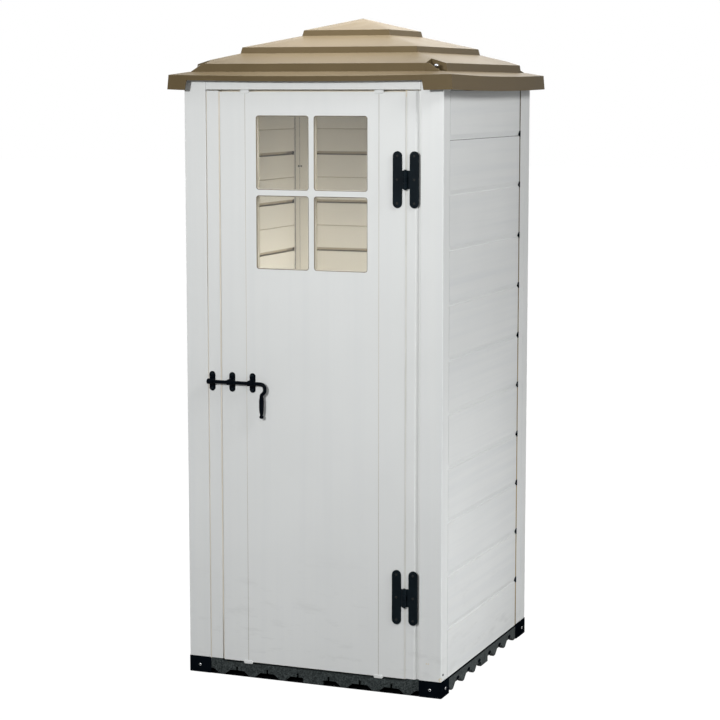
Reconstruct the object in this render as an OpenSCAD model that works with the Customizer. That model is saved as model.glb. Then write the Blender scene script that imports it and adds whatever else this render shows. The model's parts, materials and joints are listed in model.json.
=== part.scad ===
// Plastic garden shed: plank walls between corner posts on a clip-together floor, under a
// stepped pyramid roof, with a three-panel glazed door on H hinges and a monkey-tail bolt.
// Millimetres, +Z up. The front faces -Y and +X is to its right. The origin is on the ground
// below the middle of the roof.

/* [Walls] */
// Width of the walls across the front
wall_w = 820; // [800:5:840]
// Depth of the walls from front to back
wall_d = 820; // [800:5:840]
// Height of one wall plank
plank_h = 160; // [155:1:165]
// Number of planks in a wall
plank_count = 11; // [11:1:12]
// Thickness of the wall planks
plank_t = 22; // [20:1:24]
// Width of a corner post on the front and the back
post_w = 70; // [65:1:75]
// Depth of the front posts on the sides
front_post_d = 55; // [50:1:60]
// Depth of the back posts on the sides
back_post_d = 50; // [45:1:55]
// Width of the upright strips beside the back posts
strip_w = 44; // [40:1:48]

/* [Floor] */
// Height of the corner feet, which is where the walls start
foot_h = 50; // [48:1:55]
// Height of the floor tiles
floor_h = 42; // [40:1:44]
// Distance between the rows of pads below the floor
pad_pitch = 101; // [99:0.5:101]
// Height of the arches between the pads
arch_h = 16; // [8:1:18]

/* [Door] */
// Gap between the door leaf and the jambs
door_gap = 5; // [5:0.5:7]
// Thickness of the door leaf
door_t = 24; // [22:1:26]
// Width of the middle panel of the door
panel_w = 424; // [410:2:430]
// Width of one window pane opening
pane_w = 168; // [150:1:172]
// Height of one window pane opening
pane_h = 217.5; // [200:0.5:225]
// Width of the bars between the panes
glazing_bar = 17; // [14:1:20]
// Height of the bottom of the window above the ground
window_z = 1251; // [1230:1:1260]

/* [Roof] */
// Reach of the roof beyond the walls
roof_overhang = 37.5; // [30:0.5:45]
// Wall thickness of the moulded roof
roof_t = 4; // [3:0.5:5]
// Height of the roof's point above the top of the walls
roof_rise = 185; // [175:1:195]
// Depth of the fascia below the shelf of the eaves
fascia_h = 43; // [40:1:46]

/* [Hardware] */
// Height of the upper hinge above the ground
upper_hinge_z = 1522; // [1450:1:1560]
// Height of the lower hinge above the ground
lower_hinge_z = 295; // [250:1:350]
// Height of the bolt above the ground
bolt_z = 908; // [880:1:940]
// Length of the hinge plates
hinge_h = 163; // [150:1:170]
// Width of the hinge plates
hinge_w = 28; // [26:1:29]

/* [Hidden] */
$fn = 48;
// Overlap that lets a cut run past the faces it opens
cut = 1;
// Gap between pieces that meet without touching
fit_gap = 0.3;
// Running clearance round a hinge pin
pin_gap = 0.05;

// Colours
wall_white = "#dcdedc";
roof_brown = "#9c8a68";
tile_grey = "#3c4141";
near_black = "#0c1014";
iron_black = "#191e23";
clear_pane = [0.85, 0.92, 0.95, 0.35];

// Places that follow from the driving dimensions
half_w = wall_w / 2;
half_d = wall_d / 2;
front_y = -half_d;
wall_top = foot_h + plank_count * plank_h;

// Walls
post_wall = 3;
post_corner_r = 2;
groove_lip = 16;
groove_depth = 4;
tongue_h = 8;
tongue_t = 4;
channel_w = 12;
channel_depth = 6;
rear_gap = 3;
strip_lip_t = 3;
strip_lip_w = 20;

// Floor
tile_inset = 2;
tile_half_w = half_w - tile_inset;
tile_half_d = half_d - tile_inset;
tile_seam = 1;
skirt_t = 12;
deck_t = 5;
ledge_w = 24;
foot_side = 70;
foot_proud = 1.5;
foot_corner_r = 3;
foot_gap = 0.5;
lug_proud = 0.5;
lug_w = 22.5;
lug_corner_r = 10;
peg_h = 40;
pad_foot_w = 15;
seam_pad_w = 33;
arch_top_w = 46;
vent_w = 6;
vent_h = 12;

// Front frame and door
jamb_w = 41.5;
frame_depth = 37;
stop_t = 8;
stop_w = 20;
jamb_x = half_w - post_w - jamb_w;
leaf_x = jamb_x - door_gap;
leaf_bottom = floor_h + 6.5;
leaf_top = wall_top - 38;
lintel_bottom = leaf_top + 6.5;
panel_gap = 0.6;
pane_r = 6;
glass_t = 3;
glass_lap = 4;
clip_w = 30;
clip_h = 10;
clip_t = 2.5;
clip_lap = 1.5;

// Roof
roof_half_w = half_w + roof_overhang;
roof_half_d = half_d + roof_overhang;
eave_z = wall_top - 31;
fascia_lip = 15;
fascia_ear_left = 62;
fascia_ear_right = 92;
fascia_ear_taper = 6;
seat_t = 18;
pocket_side = 45;
pocket_floor = 5;

// Hinges
hinge_t = 4;
pin_r = 3;
barrel_r = 7;
barrel_h = 53;
knuckle_gap = 0.5;
hinge_x = jamb_x - door_gap / 2;
hinge_y = front_y - 8;
plate_offset = 26;
pin_head_r = 5;
pin_head_h = 2.5;

// Bolt
rod_r = 5.5;
rod_y = front_y - 16;
rod_gap = 0.3;
rod_left = -342;
handle_left = -185;
keeper_x = -325;
bracket_left_x = -259;
bracket_right_x = -192;
bracket_w = 19;
bracket_h = 59;
bracket_t = 3;
strap_t = 2.2;
spigot_r = 3;
spigot_h = 10;
neck_l = 25.3;
elbow_r = 14;
drop_l = 5;
bend_r = 9;
bend_angle = 45;
bar_sides = 16;
// Depth below the top of the grip and the radius there
grip_profile = [[12, 6.7], [26, 7], [40, 6.7], [52, 5.2], [56, 4.3], [57.5, 4.6], [59.5, 6.2],
                [62, 6.6], [64.5, 5.8], [66.5, 4], [67.5, 1.6]];
slant_l = 8;

// ---- Shared shapes -----------------------------------------------------------------------

// A rectangle with round corners, centred
module soft_rect(w, h, r) {
  square([w - 2 * r, h], center = true);
  square([w, h - 2 * r], center = true);
  for (x = [-1, 1], z = [-1, 1])
    translate([x * (w / 2 - r), z * (h / 2 - r)]) circle(r);
}

// A bar with fully round ends, centred and upright
module round_bar(w, h) {
  square([w, h - w], center = true);
  for (z = [-1, 1])
    translate([0, z * (h - w) / 2]) circle(d = w);
}

// Stands an outline drawn in X and Z on the front plane y and gives it a thickness towards -Y
module on_front(y, t) {
  translate([0, y, 0]) rotate([90, 0, 0]) linear_extrude(t) children();
}

// A box from its lowest corner to its highest corner
module box(low, high) {
  translate(low) cube(high - low);
}

// ---- Floor -------------------------------------------------------------------------------

// Outline of the arch between two pads, with the vent above it, drawn upwards from the ground.
// The arch next to the seam between the tiles has an upright side there.
module arch_outline(by_seam) {
  foot = (pad_pitch - pad_foot_w) / 2;
  seam_side = seam_pad_w - pad_pitch / 2;
  polygon(concat([[foot, -cut], [foot, 0], [arch_top_w / 2, arch_h]],
                 by_seam ? [[seam_side, arch_h], [seam_side, -cut]]
                         : [[-arch_top_w / 2, arch_h], [-foot, 0], [-foot, -cut]]));
  translate([-vent_w / 2, 0]) square([vent_w, arch_h + vent_h]);
}

// One quarter of the floor, built in the corner towards +X and +Y
module floor_quarter(front) {
  corner = half_w - foot_side - foot_gap;
  corner_d = half_d - foot_side - foot_gap;
  cells = [0 : 3];
  difference() {
    union() {
      box([tile_seam / 2, tile_seam / 2, 0], [tile_half_w, tile_half_d, floor_h]);
      box([tile_half_w - ledge_w, tile_seam / 2, 0], [tile_half_w, tile_half_d, foot_h]);
      if (front)
        box([jamb_x, half_d - frame_depth, 0], [tile_half_w, tile_half_d, foot_h]);
      else
        box([tile_seam / 2, tile_half_d - ledge_w, 0], [tile_half_w, tile_half_d, foot_h]);
    }
    // Seat of the corner foot
    box([corner, corner_d, -cut], [half_w, half_d, foot_h + cut]);
    if (!front)
      box([half_w + lug_proud - lug_w - foot_gap, lug_start - foot_gap, -cut],
          [half_w, half_d, foot_h + cut]);
    // Hollow cells between the ribs
    for (i = cells, j = cells)
      if (i < 3 || j < 3)
        box([i * pad_pitch + skirt_t, j * pad_pitch + skirt_t, -cut],
            [min((i + 1) * pad_pitch, tile_half_w) - skirt_t,
             min((j + 1) * pad_pitch, tile_half_d) - skirt_t, floor_h - deck_t]);
    // Arches that leave pads at the crossings of the ribs
    for (i = cells) {
      translate([(i + 0.5) * pad_pitch, tile_half_d + cut, 0])
        rotate([90, 0, 0]) linear_extrude(tile_half_d + cut) arch_outline(i == 0);
      translate([0, (i + 0.5) * pad_pitch, 0])
        rotate([90, 0, 90]) linear_extrude(tile_half_w + cut) arch_outline(i == 0);
    }
  }
}

// Puts a piece built in the +X, +Y corner into the corner given by the two signs
module in_corner(x, y) {
  mirror([x < 0 ? 1 : 0, 0, 0]) mirror([0, y < 0 ? 1 : 0, 0]) children();
}

module floor_tile(x, y) {
  color(tile_grey) in_corner(x, y) floor_quarter(y < 0);
}

// Where the round-nosed lug of a back foot starts, below the front edge of the upright strip
lug_start = half_d - back_post_d - strip_w;

// A corner boot that the post stands on, with a peg up inside it. A back foot has a lug forward
// for the upright strip to stand on.
module foot(x, y) {
  reach_w = half_w + foot_proud;
  reach_d = half_d + foot_proud;
  side = foot_side + foot_proud;
  depth = y < 0 ? front_post_d : back_post_d;
  wall = post_wall + 0.5;
  color(near_black) in_corner(x, y) {
    translate([reach_w - side / 2, reach_d - side / 2, 0])
      linear_extrude(foot_h) soft_rect(side, side, foot_corner_r);
    if (y > 0)
      translate([half_w + lug_proud - lug_w / 2, (lug_start + half_d - foot_corner_r) / 2, 0])
        linear_extrude(foot_h)
          soft_rect(lug_w, half_d - foot_corner_r - lug_start, lug_corner_r);
    box([half_w - post_w + wall, half_d - depth + wall, foot_h - cut],
        [half_w - wall, half_d - wall, foot_h + peg_h]);
  }
}

// ---- Walls -------------------------------------------------------------------------------

// A hollow corner post
module post(x, y) {
  depth = y < 0 ? front_post_d : back_post_d;
  color(wall_white) in_corner(x, y)
    translate([half_w - post_w / 2, half_d - depth / 2, foot_h])
      linear_extrude(wall_top - foot_h)
        difference() {
          soft_rect(post_w, depth, post_corner_r);
          square([post_w - 2 * post_wall, depth - 2 * post_wall], center = true);
        }
}

// Section of one plank: X is the depth behind the outer face, Y is the height
module plank_section(last) {
  top = last ? plank_h : plank_h - fit_gap;
  lip = plank_h - groove_lip;
  mid = plank_t / 2;
  half_slot = tongue_t / 2 + 0.5;
  difference() {
    union() {
      polygon([[0, fit_gap], [0, lip], [groove_depth, lip + 3],
               [0.6, top], [plank_t, top], [plank_t, fit_gap]]);
      if (!last)
        translate([mid - tongue_t / 2, top - cut]) square([tongue_t, tongue_h + cut]);
    }
    translate([mid - half_slot, fit_gap - cut]) square([2 * half_slot, tongue_h + 1 + cut]);
    translate([plank_t - channel_depth, (plank_h - channel_w) / 2])
      square([channel_depth + cut, channel_w]);
  }
}

// A wall of stacked planks with its outer face on X = 0, running along +Y for the given length
module plank_wall(length) {
  for (i = [0 : plank_count - 1])
    translate([0, length, foot_h + i * plank_h])
      rotate([90, 0, 0]) mirror([1, 0, 0])
        linear_extrude(length) plank_section(i == plank_count - 1);
}

// The wall on the +X side; the planks stop short of the strip beside the back post
module side_wall() {
  start = front_y + front_post_d + fit_gap;
  end = half_d - back_post_d - strip_w - rear_gap;
  color(wall_white) translate([half_w, start, 0]) plank_wall(end - start);
}

module wall_left() {
  mirror([1, 0, 0]) side_wall();
}

module wall_right() {
  side_wall();
}

module wall_back() {
  span = wall_w - 2 * post_w - 2 * fit_gap;
  color(wall_white) translate([span / 2, half_d, 0]) rotate([0, 0, 90]) plank_wall(span);
}

// Upright strip on the +X side, with a lip that covers the ends of the planks inside
module side_strip() {
  low = half_d - back_post_d - strip_w;
  high = half_d - back_post_d - fit_gap;
  color(wall_white) {
    box([half_w - plank_t, low, foot_h], [half_w, high, wall_top]);
    box([half_w - plank_t - strip_lip_t, low - strip_lip_w, foot_h],
        [half_w - plank_t, high, wall_top]);
  }
}

module side_strip_left() {
  mirror([1, 0, 0]) side_strip();
}

module side_strip_right() {
  side_strip();
}

// ---- Front frame -------------------------------------------------------------------------

// Jamb on the +X side: a strip on the front and a stop behind the door leaf
module jamb() {
  color(wall_white) {
    box([jamb_x, front_y, foot_h],
        [half_w - post_w - fit_gap, front_y + frame_depth, lintel_bottom - fit_gap]);
    box([jamb_x - stop_w, front_y + frame_depth - stop_t, foot_h],
        [jamb_x, front_y + frame_depth, lintel_bottom - fit_gap]);
  }
}

module jamb_left() {
  mirror([1, 0, 0]) jamb();
}

module jamb_right() {
  jamb();
}

// Beam over the door, with a stop behind the top of the leaf
module lintel() {
  reach = half_w - post_w - fit_gap;
  stop_x = jamb_x - stop_w - fit_gap;
  color(wall_white) {
    box([-reach, front_y, lintel_bottom], [reach, front_y + frame_depth, wall_top]);
    box([-stop_x, front_y + frame_depth - stop_t, lintel_bottom - stop_w],
        [stop_x, front_y + frame_depth, lintel_bottom]);
  }
}

// ---- Roof --------------------------------------------------------------------------------

// Right half of the roof's outline from the eave up to the point: distance from the middle and
// height. The shrink draws the inner face of a shell of that thickness.
function roof_line(half, shrink) =
  let (shelf = eave_z + fascia_h,
       peak = wall_top + roof_rise,
       outer = [[half, eave_z], [half - 3, shelf], [half - 49, shelf + 9],
                [half - 53, shelf + 32], [half - 164, shelf + 64], [half - 168, shelf + 82],
                [half - 305, shelf + 118], [half - 309, shelf + 135]])
  concat([for (i = [0 : len(outer) - 1])
            [outer[i][0] - shrink, i == 0 && shrink > 0 ? eave_z - cut : outer[i][1] - shrink]],
         [[0, peak - shrink]]);

function mirrored(points) = [for (i = [len(points) - 2 : -1 : 0]) [-points[i][0], points[i][1]]];

module roof_outline(half, shrink) {
  line = roof_line(half, shrink);
  polygon(concat(line, mirrored(line)));
}

// The stepped pyramid is what two such outlines have in common, one run along Y, one along X
module stepped_pyramid(shrink) {
  intersection() {
    rotate([90, 0, 0])
      linear_extrude(2 * roof_half_d, center = true) roof_outline(roof_half_w, shrink);
    rotate([90, 0, 90])
      linear_extrude(2 * roof_half_w, center = true) roof_outline(roof_half_d, shrink);
  }
}

// Where the screw pocket starts on a corner of the lowest tier
pocket_w = roof_half_w - 53 - pocket_side;
pocket_d = roof_half_d - 53 - pocket_side;
pocket_z = eave_z + fascia_h + 9;

// Outline of the cut in the front fascia, drawn upwards from the ground
module fascia_cut() {
  left = fascia_ear_left - roof_half_w;
  right = roof_half_w - fascia_ear_right;
  top = eave_z + fascia_h - fascia_lip;
  polygon([[left - fascia_ear_taper, eave_z - cut], [right + fascia_ear_taper, eave_z - cut],
           [right, top], [left, top]]);
}

module roof_shell() {
  color(roof_brown) difference() {
    union() {
      difference() {
        stepped_pyramid(0);
        stepped_pyramid(roof_t);
      }
      intersection() {
        stepped_pyramid(0);
        union() {
          // Ring that rests on the top of the walls
          difference() {
            box([-half_w, -half_d, wall_top], [half_w, half_d, pocket_z]);
            box([seat_t - half_w, seat_t - half_d, wall_top - cut],
                [half_w - seat_t, half_d - seat_t, pocket_z + cut]);
          }
          // Linings of the screw pockets
          for (x = [-1, 1], y = [-1, 1]) in_corner(x, y)
            box([pocket_w - roof_t, pocket_d - roof_t, pocket_z - pocket_floor],
                [roof_half_w - 49, roof_half_d - 49, wall_top + roof_rise]);
        }
      }
    }
    for (x = [-1, 1], y = [-1, 1]) in_corner(x, y)
      box([pocket_w, pocket_d, pocket_z], [roof_half_w, roof_half_d, wall_top + roof_rise]);
    // The fascia is cut back over the door, between two ears that narrow downwards
    translate([0, -half_d - seat_t, 0])
      rotate([90, 0, 0]) linear_extrude(roof_half_d - half_d - seat_t + cut) fascia_cut();
  }
}

// ---- Door --------------------------------------------------------------------------------

// Places every pane opening, as the middle of each in X and Z
pane_x = (pane_w + glazing_bar) / 2;
pane_places = [for (x = [-1, 1], row = [0, 1])
  [x * pane_x, window_z + pane_h / 2 + row * (pane_h + glazing_bar)]];
leaf_back = front_y + door_t;
glass_y = front_y + door_t / 2;

module door_panel_center() {
  color(wall_white) difference() {
    union() {
      box([-panel_w / 2 + panel_gap / 2, front_y, leaf_bottom],
          [panel_w / 2 - panel_gap / 2, leaf_back, leaf_top]);
      // Tongues that enter the side panels
      box([-panel_w / 2 - tongue_h, glass_y - tongue_t / 2, leaf_bottom],
          [panel_w / 2 + tongue_h, glass_y + tongue_t / 2, leaf_top]);
    }
    for (p = pane_places) {
      translate([p[0], 0, p[1]])
        on_front(leaf_back + cut, door_t + 2 * cut) soft_rect(pane_w, pane_h, pane_r);
      // Groove that holds the pane
      translate([p[0], 0, p[1]])
        on_front(glass_y + glass_t / 2 + fit_gap, glass_t + 2 * fit_gap)
          square([pane_w + 2 * glass_lap + 2 * fit_gap, pane_h + 2 * glass_lap + 2 * fit_gap],
                 center = true);
    }
  }
}

// Side panel on the +X side, with a groove for the middle panel's tongue
module side_panel() {
  low = panel_w / 2 + panel_gap / 2;
  color(wall_white) difference() {
    box([low, front_y, leaf_bottom], [leaf_x, leaf_back, leaf_top]);
    box([low - cut, glass_y - tongue_t / 2 - fit_gap, leaf_bottom - cut],
        [panel_w / 2 + tongue_h + 1, glass_y + tongue_t / 2 + fit_gap, leaf_top + cut]);
  }
}

module door_panel_left() {
  mirror([1, 0, 0]) side_panel();
}

module door_panel_right() {
  side_panel();
}

// Clips over the joints of the panels at the top and the bottom edge of the leaf
module clip(x, edge, up) {
  high = clip_h / 2;
  translate([x, 0, edge]) mirror([0, 0, up ? 0 : 1]) {
    on_front(front_y, clip_t)
      intersection() {
        round_bar_flat();
        translate([-clip_w, -clip_h]) square([2 * clip_w, clip_h + clip_lap]);
      }
    box([-clip_w / 2 + high, front_y - clip_t, 0],
        [clip_w / 2 - high, leaf_back, clip_lap]);
  }
}

// Lying round-ended outline of a clip, with its middle just below the edge
module round_bar_flat() {
  translate([0, clip_lap - clip_h / 2]) rotate(90) round_bar(clip_h, clip_w);
}

module door_clips() {
  color(wall_white) for (x = [-panel_w / 2, panel_w / 2]) {
    clip(x, leaf_top, true);
    clip(x, leaf_bottom, false);
  }
}

module window_glazing() {
  color(clear_pane) for (p = pane_places)
    translate([p[0], 0, p[1]])
      on_front(glass_y + glass_t / 2, glass_t)
        square([pane_w + 2 * glass_lap, pane_h + 2 * glass_lap], center = true);
}

// ---- Hinges ------------------------------------------------------------------------------

// Heights of the three knuckles: the frame leaf has the outer two, the door leaf the middle
knuckle_h = (barrel_h - 2 * knuckle_gap) / 3;
function knuckle_z(i) = -barrel_h / 2 + i * (knuckle_h + knuckle_gap);

// One leaf on the +X side of the pin, centred on the pin's middle height
module hinge_leaf(knuckles) {
  plate_y = front_y - hinge_y;
  inner = plate_offset - hinge_w / 2;
  difference() {
    union() {
      translate([plate_offset, 0, 0]) on_front(plate_y, hinge_t) round_bar(hinge_w, hinge_h);
      box([barrel_r + 1.5, plate_y - hinge_t, -barrel_h / 2], [inner + 1, plate_y, barrel_h / 2]);
      for (i = knuckles) translate([0, 0, knuckle_z(i)]) {
        cylinder(r = barrel_r, h = knuckle_h);
        box([0, plate_y - hinge_t, 0], [inner, plate_y - 1, knuckle_h]);
      }
    }
    translate([0, 0, -barrel_h]) cylinder(r = pin_r + pin_gap, h = 2 * barrel_h);
  }
}

module hinge_frame_leaf(z) {
  color(iron_black) translate([hinge_x, hinge_y, z]) hinge_leaf([0, 2]);
}

module hinge_door_leaf(z) {
  color(iron_black) translate([hinge_x, hinge_y, z]) mirror([1, 0, 0]) hinge_leaf([1]);
}

// Pin with a domed head at each end
module hinge_pin(z) {
  length = barrel_h + 2 * fit_gap;
  color(iron_black) translate([hinge_x, hinge_y, z]) {
    translate([0, 0, -length / 2]) cylinder(r = pin_r, h = length);
    for (up = [0, 1]) mirror([0, 0, up]) translate([0, 0, length / 2])
      rotate_extrude() polygon([[0, 0], [pin_head_r, 0], [pin_head_r - 1.5, pin_head_h],
                                [0, pin_head_h]]);
  }
}

// ---- Bolt --------------------------------------------------------------------------------

// Strap over the rod on a round-ended plate
module bolt_strap(x) {
  reach = rod_r + rod_gap + strap_t;
  color(iron_black) translate([x, 0, bolt_z]) difference() {
    union() {
      on_front(front_y, bracket_t) round_bar(bracket_w, bracket_h);
      box([-bracket_w / 2, rod_y, -reach], [bracket_w / 2, front_y, reach]);
      translate([0, rod_y, 0]) rotate([0, 90, 0])
        cylinder(r = reach, h = bracket_w, center = true);
    }
    translate([0, rod_y, 0]) rotate([0, 90, 0])
      cylinder(r = rod_r + rod_gap, h = 2 * bracket_w, center = true);
  }
}

module bolt_rod() {
  color(iron_black) translate([0, rod_y, bolt_z]) rotate([0, 90, 0]) difference() {
    translate([0, 0, rod_left]) cylinder(r = rod_r, h = handle_left - fit_gap - rod_left);
    translate([0, 0, handle_left - spigot_h - cut])
      cylinder(r = spigot_r + pin_gap, h = spigot_h + 2 * cut);
  }
}

// Points of an arc in X and Z round a centre, each with the radius of the bar there
function arc(centre, radius, from, to, steps) =
  [for (i = [0 : steps]) let (a = from + (to - from) * i / steps)
    [centre[0] + radius * cos(a), centre[1] + radius * sin(a), rod_r]];

// Middle line of the handle as [x, z, bar radius], from its joint with the rod: a straight neck,
// an elbow down, a double bend, then the swelling grip and its ball
handle_path =
  let (elbow_x = neck_l + elbow_r,
       slant = slant_l * sin(bend_angle),
       turn_z = -elbow_r - drop_l,
       side = bend_r * (1 - cos(bend_angle)),
       fall = bend_r * sin(bend_angle),
       grip_x = elbow_x - 2 * side - slant,
       grip_z = turn_z - 2 * fall - slant_l * cos(bend_angle))
  concat([[0, 0, rod_r]],
         arc([neck_l, -elbow_r], elbow_r, 90, 0, 8),
         arc([elbow_x - bend_r, turn_z], bend_r, 0, -bend_angle, 4),
         arc([grip_x + bend_r, grip_z], bend_r, 180 - bend_angle, 180, 4),
         [for (g = grip_profile) [grip_x, grip_z - g[0], g[1]]]);

// Ring of points round one place of the middle line, square to the line
function ring(path, k) =
  let (last = len(path) - 1,
       ahead = path[min(k + 1, last)],
       behind = path[max(k - 1, 0)],
       dx = ahead[0] - behind[0],
       dz = ahead[1] - behind[1],
       size = norm([dx, dz]))
  [for (i = [0 : bar_sides - 1]) let (a = 360 * i / bar_sides, r = path[k][2])
    [path[k][0] - r * cos(a) * dz / size, r * sin(a), path[k][1] + r * cos(a) * dx / size]];

// A round bar of changing radius along a middle line in X and Z
module bent_bar(path) {
  n = bar_sides;
  last = len(path) - 1;
  polyhedron(
    points = [for (k = [0 : last]) each ring(path, k)],
    faces = concat(
      [[for (i = [n - 1 : -1 : 0]) i]],
      [for (k = [0 : last - 1], i = [0 : n - 1])
        [k * n + i, k * n + (i + 1) % n, (k + 1) * n + (i + 1) % n, (k + 1) * n + i]],
      [[for (i = [0 : n - 1]) last * n + i]]));
}

// Handle: a round spigot in the rod's end and the bent bar
module bolt_handle() {
  color(iron_black) translate([handle_left, rod_y, bolt_z]) {
    rotate([0, 90, 0]) translate([0, 0, -spigot_h]) cylinder(r = spigot_r, h = spigot_h + cut);
    bent_bar(handle_path);
  }
}

// ---- Assembly ----------------------------------------------------------------------------

floor_tile(-1, -1);  // floor_tile_front_left
floor_tile(1, -1);  // floor_tile_front_right
floor_tile(-1, 1);  // floor_tile_back_left
floor_tile(1, 1);  // floor_tile_back_right
foot(-1, -1);  // foot_front_left
foot(1, -1);  // foot_front_right
foot(-1, 1);  // foot_back_left
foot(1, 1);  // foot_back_right
post(-1, -1);  // post_front_left
post(1, -1);  // post_front_right
post(-1, 1);  // post_back_left
post(1, 1);  // post_back_right
side_strip_left();
side_strip_right();
wall_left();
wall_right();
wall_back();
jamb_left();
jamb_right();
lintel();
roof_shell();
door_panel_left();
door_panel_center();
door_panel_right();
door_clips();
window_glazing();
hinge_frame_leaf(upper_hinge_z);  // hinge_upper_frame_leaf
hinge_door_leaf(upper_hinge_z);  // hinge_upper_door_leaf
hinge_pin(upper_hinge_z);  // hinge_upper_pin
hinge_frame_leaf(lower_hinge_z);  // hinge_lower_frame_leaf
hinge_door_leaf(lower_hinge_z);  // hinge_lower_door_leaf
hinge_pin(lower_hinge_z);  // hinge_lower_pin
bolt_strap(keeper_x);  // bolt_keeper
bolt_strap(bracket_left_x);  // bolt_bracket_left
bolt_strap(bracket_right_x);  // bolt_bracket_right
bolt_rod();
bolt_handle();
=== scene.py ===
# %% [markdown]
# # A plastic garden shed
#
# This lesson dresses a small plastic garden shed. The construction comes ready-made as a frame of
# exact solids: posts, planks, floor tiles, door, roof, hinges and bolt. Here each of them gets
# the things that a construction model leaves out: rounded edges, screws, the grooves between
# planks and the finish of every kind of plastic. Everything is in metres, +Z is up and the front
# of the shed looks towards -Y.
#
# The first cell loads the frame.
# %% Load the frame
import json
import math

import bmesh
import bpy
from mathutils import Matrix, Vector

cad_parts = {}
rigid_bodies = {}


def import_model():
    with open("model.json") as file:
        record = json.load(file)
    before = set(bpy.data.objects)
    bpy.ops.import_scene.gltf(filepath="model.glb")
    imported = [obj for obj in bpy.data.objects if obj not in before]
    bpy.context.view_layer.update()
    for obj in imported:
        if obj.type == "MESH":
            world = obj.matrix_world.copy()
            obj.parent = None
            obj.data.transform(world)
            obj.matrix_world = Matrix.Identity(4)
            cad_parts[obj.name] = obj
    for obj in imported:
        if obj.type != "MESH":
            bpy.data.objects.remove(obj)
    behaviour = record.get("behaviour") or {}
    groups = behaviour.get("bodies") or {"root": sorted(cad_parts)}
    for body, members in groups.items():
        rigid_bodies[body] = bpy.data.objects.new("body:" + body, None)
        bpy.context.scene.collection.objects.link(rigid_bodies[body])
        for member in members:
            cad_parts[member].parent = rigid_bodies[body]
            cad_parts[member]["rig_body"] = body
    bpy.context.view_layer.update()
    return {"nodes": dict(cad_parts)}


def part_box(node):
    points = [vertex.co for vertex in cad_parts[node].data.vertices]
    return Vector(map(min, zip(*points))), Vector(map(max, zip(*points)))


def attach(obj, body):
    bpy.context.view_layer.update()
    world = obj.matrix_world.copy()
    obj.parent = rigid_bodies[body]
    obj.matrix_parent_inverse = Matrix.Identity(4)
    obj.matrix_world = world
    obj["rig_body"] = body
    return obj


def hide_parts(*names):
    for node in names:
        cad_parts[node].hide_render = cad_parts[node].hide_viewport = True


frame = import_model()

# %% [markdown]
# ## Where things are
#
# Every place below is read from the frame, so the details follow if the shed is built in another
# size. The named lengths that the frame can't tell are written in millimetres times MM, which
# is how a maker would read them from a rule.
# %% Places on the shed
MM = 0.001

HALF_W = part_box("post_front_right")[1].x
HALF_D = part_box("post_back_right")[1].y
FRONT_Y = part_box("post_front_right")[0].y
FOOT_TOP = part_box("post_front_right")[0].z
WALL_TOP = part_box("post_front_right")[1].z
PLANKS = 11
PLANK_H = (WALL_TOP - FOOT_TOP) / PLANKS
print("wall", HALF_W * 2, "wide,", HALF_D * 2, "deep, top at", round(WALL_TOP, 4))
print("plank height", round(PLANK_H, 4))

# %% [markdown]
# ## The camera
#
# The camera stands a little to the right of the shed at about the height of a tall person's
# eyes, and tips down so that the whole shed fits. A near camera with a wide lens would show the
# same faces, but it would make the shed lean. This one stands six and a half metres away with a
# long lens, which keeps the upright edges nearly parallel. No lens shift is used, so the same
# camera can be swung round the shed later.
# %% Camera
CAMERA_PLACE = Vector((2.392, -5.998, 1.779))
CAMERA_TURN = math.radians(21.83)
CAMERA_TIP = math.radians(7.43)
CAMERA_LENS_MM = 103.75
CAMERA_SENSOR_MM = 36

camera_data = bpy.data.cameras.new("camera")
camera_data.lens = CAMERA_LENS_MM
camera_data.sensor_width = CAMERA_SENSOR_MM
camera = bpy.data.objects.new("camera", camera_data)
camera.location = CAMERA_PLACE
camera.rotation_euler = (math.radians(90) - CAMERA_TIP, 0, CAMERA_TURN)
bpy.context.scene.collection.objects.link(camera)
bpy.context.scene.camera = camera
bpy.context.scene.view_settings.view_transform = "Standard"
print("camera", round(camera_data.lens, 2), "mm lens")

# %% [markdown]
# ## Small tools for materials
#
# Most materials below are the same few nodes: a Principled shader, a noise that is stretched
# along one direction, a mix of two colours, and a bump. Each gets a short function, so that a
# material reads like a recipe. Colours are written as they look on a screen, from 0 to 255, and
# turned into the linear values that shaders expect.
# %% Material tools
def linear(*screen):
    """A screen colour, 0 to 255, as the linear RGBA that a shader takes."""
    def channel(c):
        c = c / 255
        return c / 12.92 if c <= 0.04045 else ((c + 0.055) / 1.055) ** 2.4
    return (*[channel(c) for c in screen], 1.0)


def new_material(name, roughness=0.5, metallic=0.0, specular=0.5):
    """A material whose constant values sit on its Principled shader's own sockets."""
    material = bpy.data.materials.new(name)
    material.use_nodes = True
    principled = material.node_tree.nodes["Principled BSDF"]
    principled.inputs["Roughness"].default_value = roughness
    principled.inputs["Metallic"].default_value = metallic
    principled.inputs["Specular IOR Level"].default_value = specular
    return material, material.node_tree, principled


def noise(tree, scale, detail=2.0, stretch=(1, 1, 1), roughness=0.5):
    """Noise on Object coordinates; a small stretch value draws it out along that axis."""
    place = tree.nodes.new("ShaderNodeTexCoord")
    mapping = tree.nodes.new("ShaderNodeMapping")
    mapping.inputs["Scale"].default_value = stretch
    texture = tree.nodes.new("ShaderNodeTexNoise")
    texture.inputs["Scale"].default_value = scale
    texture.inputs["Detail"].default_value = detail
    texture.inputs["Roughness"].default_value = roughness
    tree.links.new(place.outputs["Object"], mapping.inputs["Vector"])
    tree.links.new(mapping.outputs["Vector"], texture.inputs["Vector"])
    return texture.outputs["Fac"]


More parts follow.
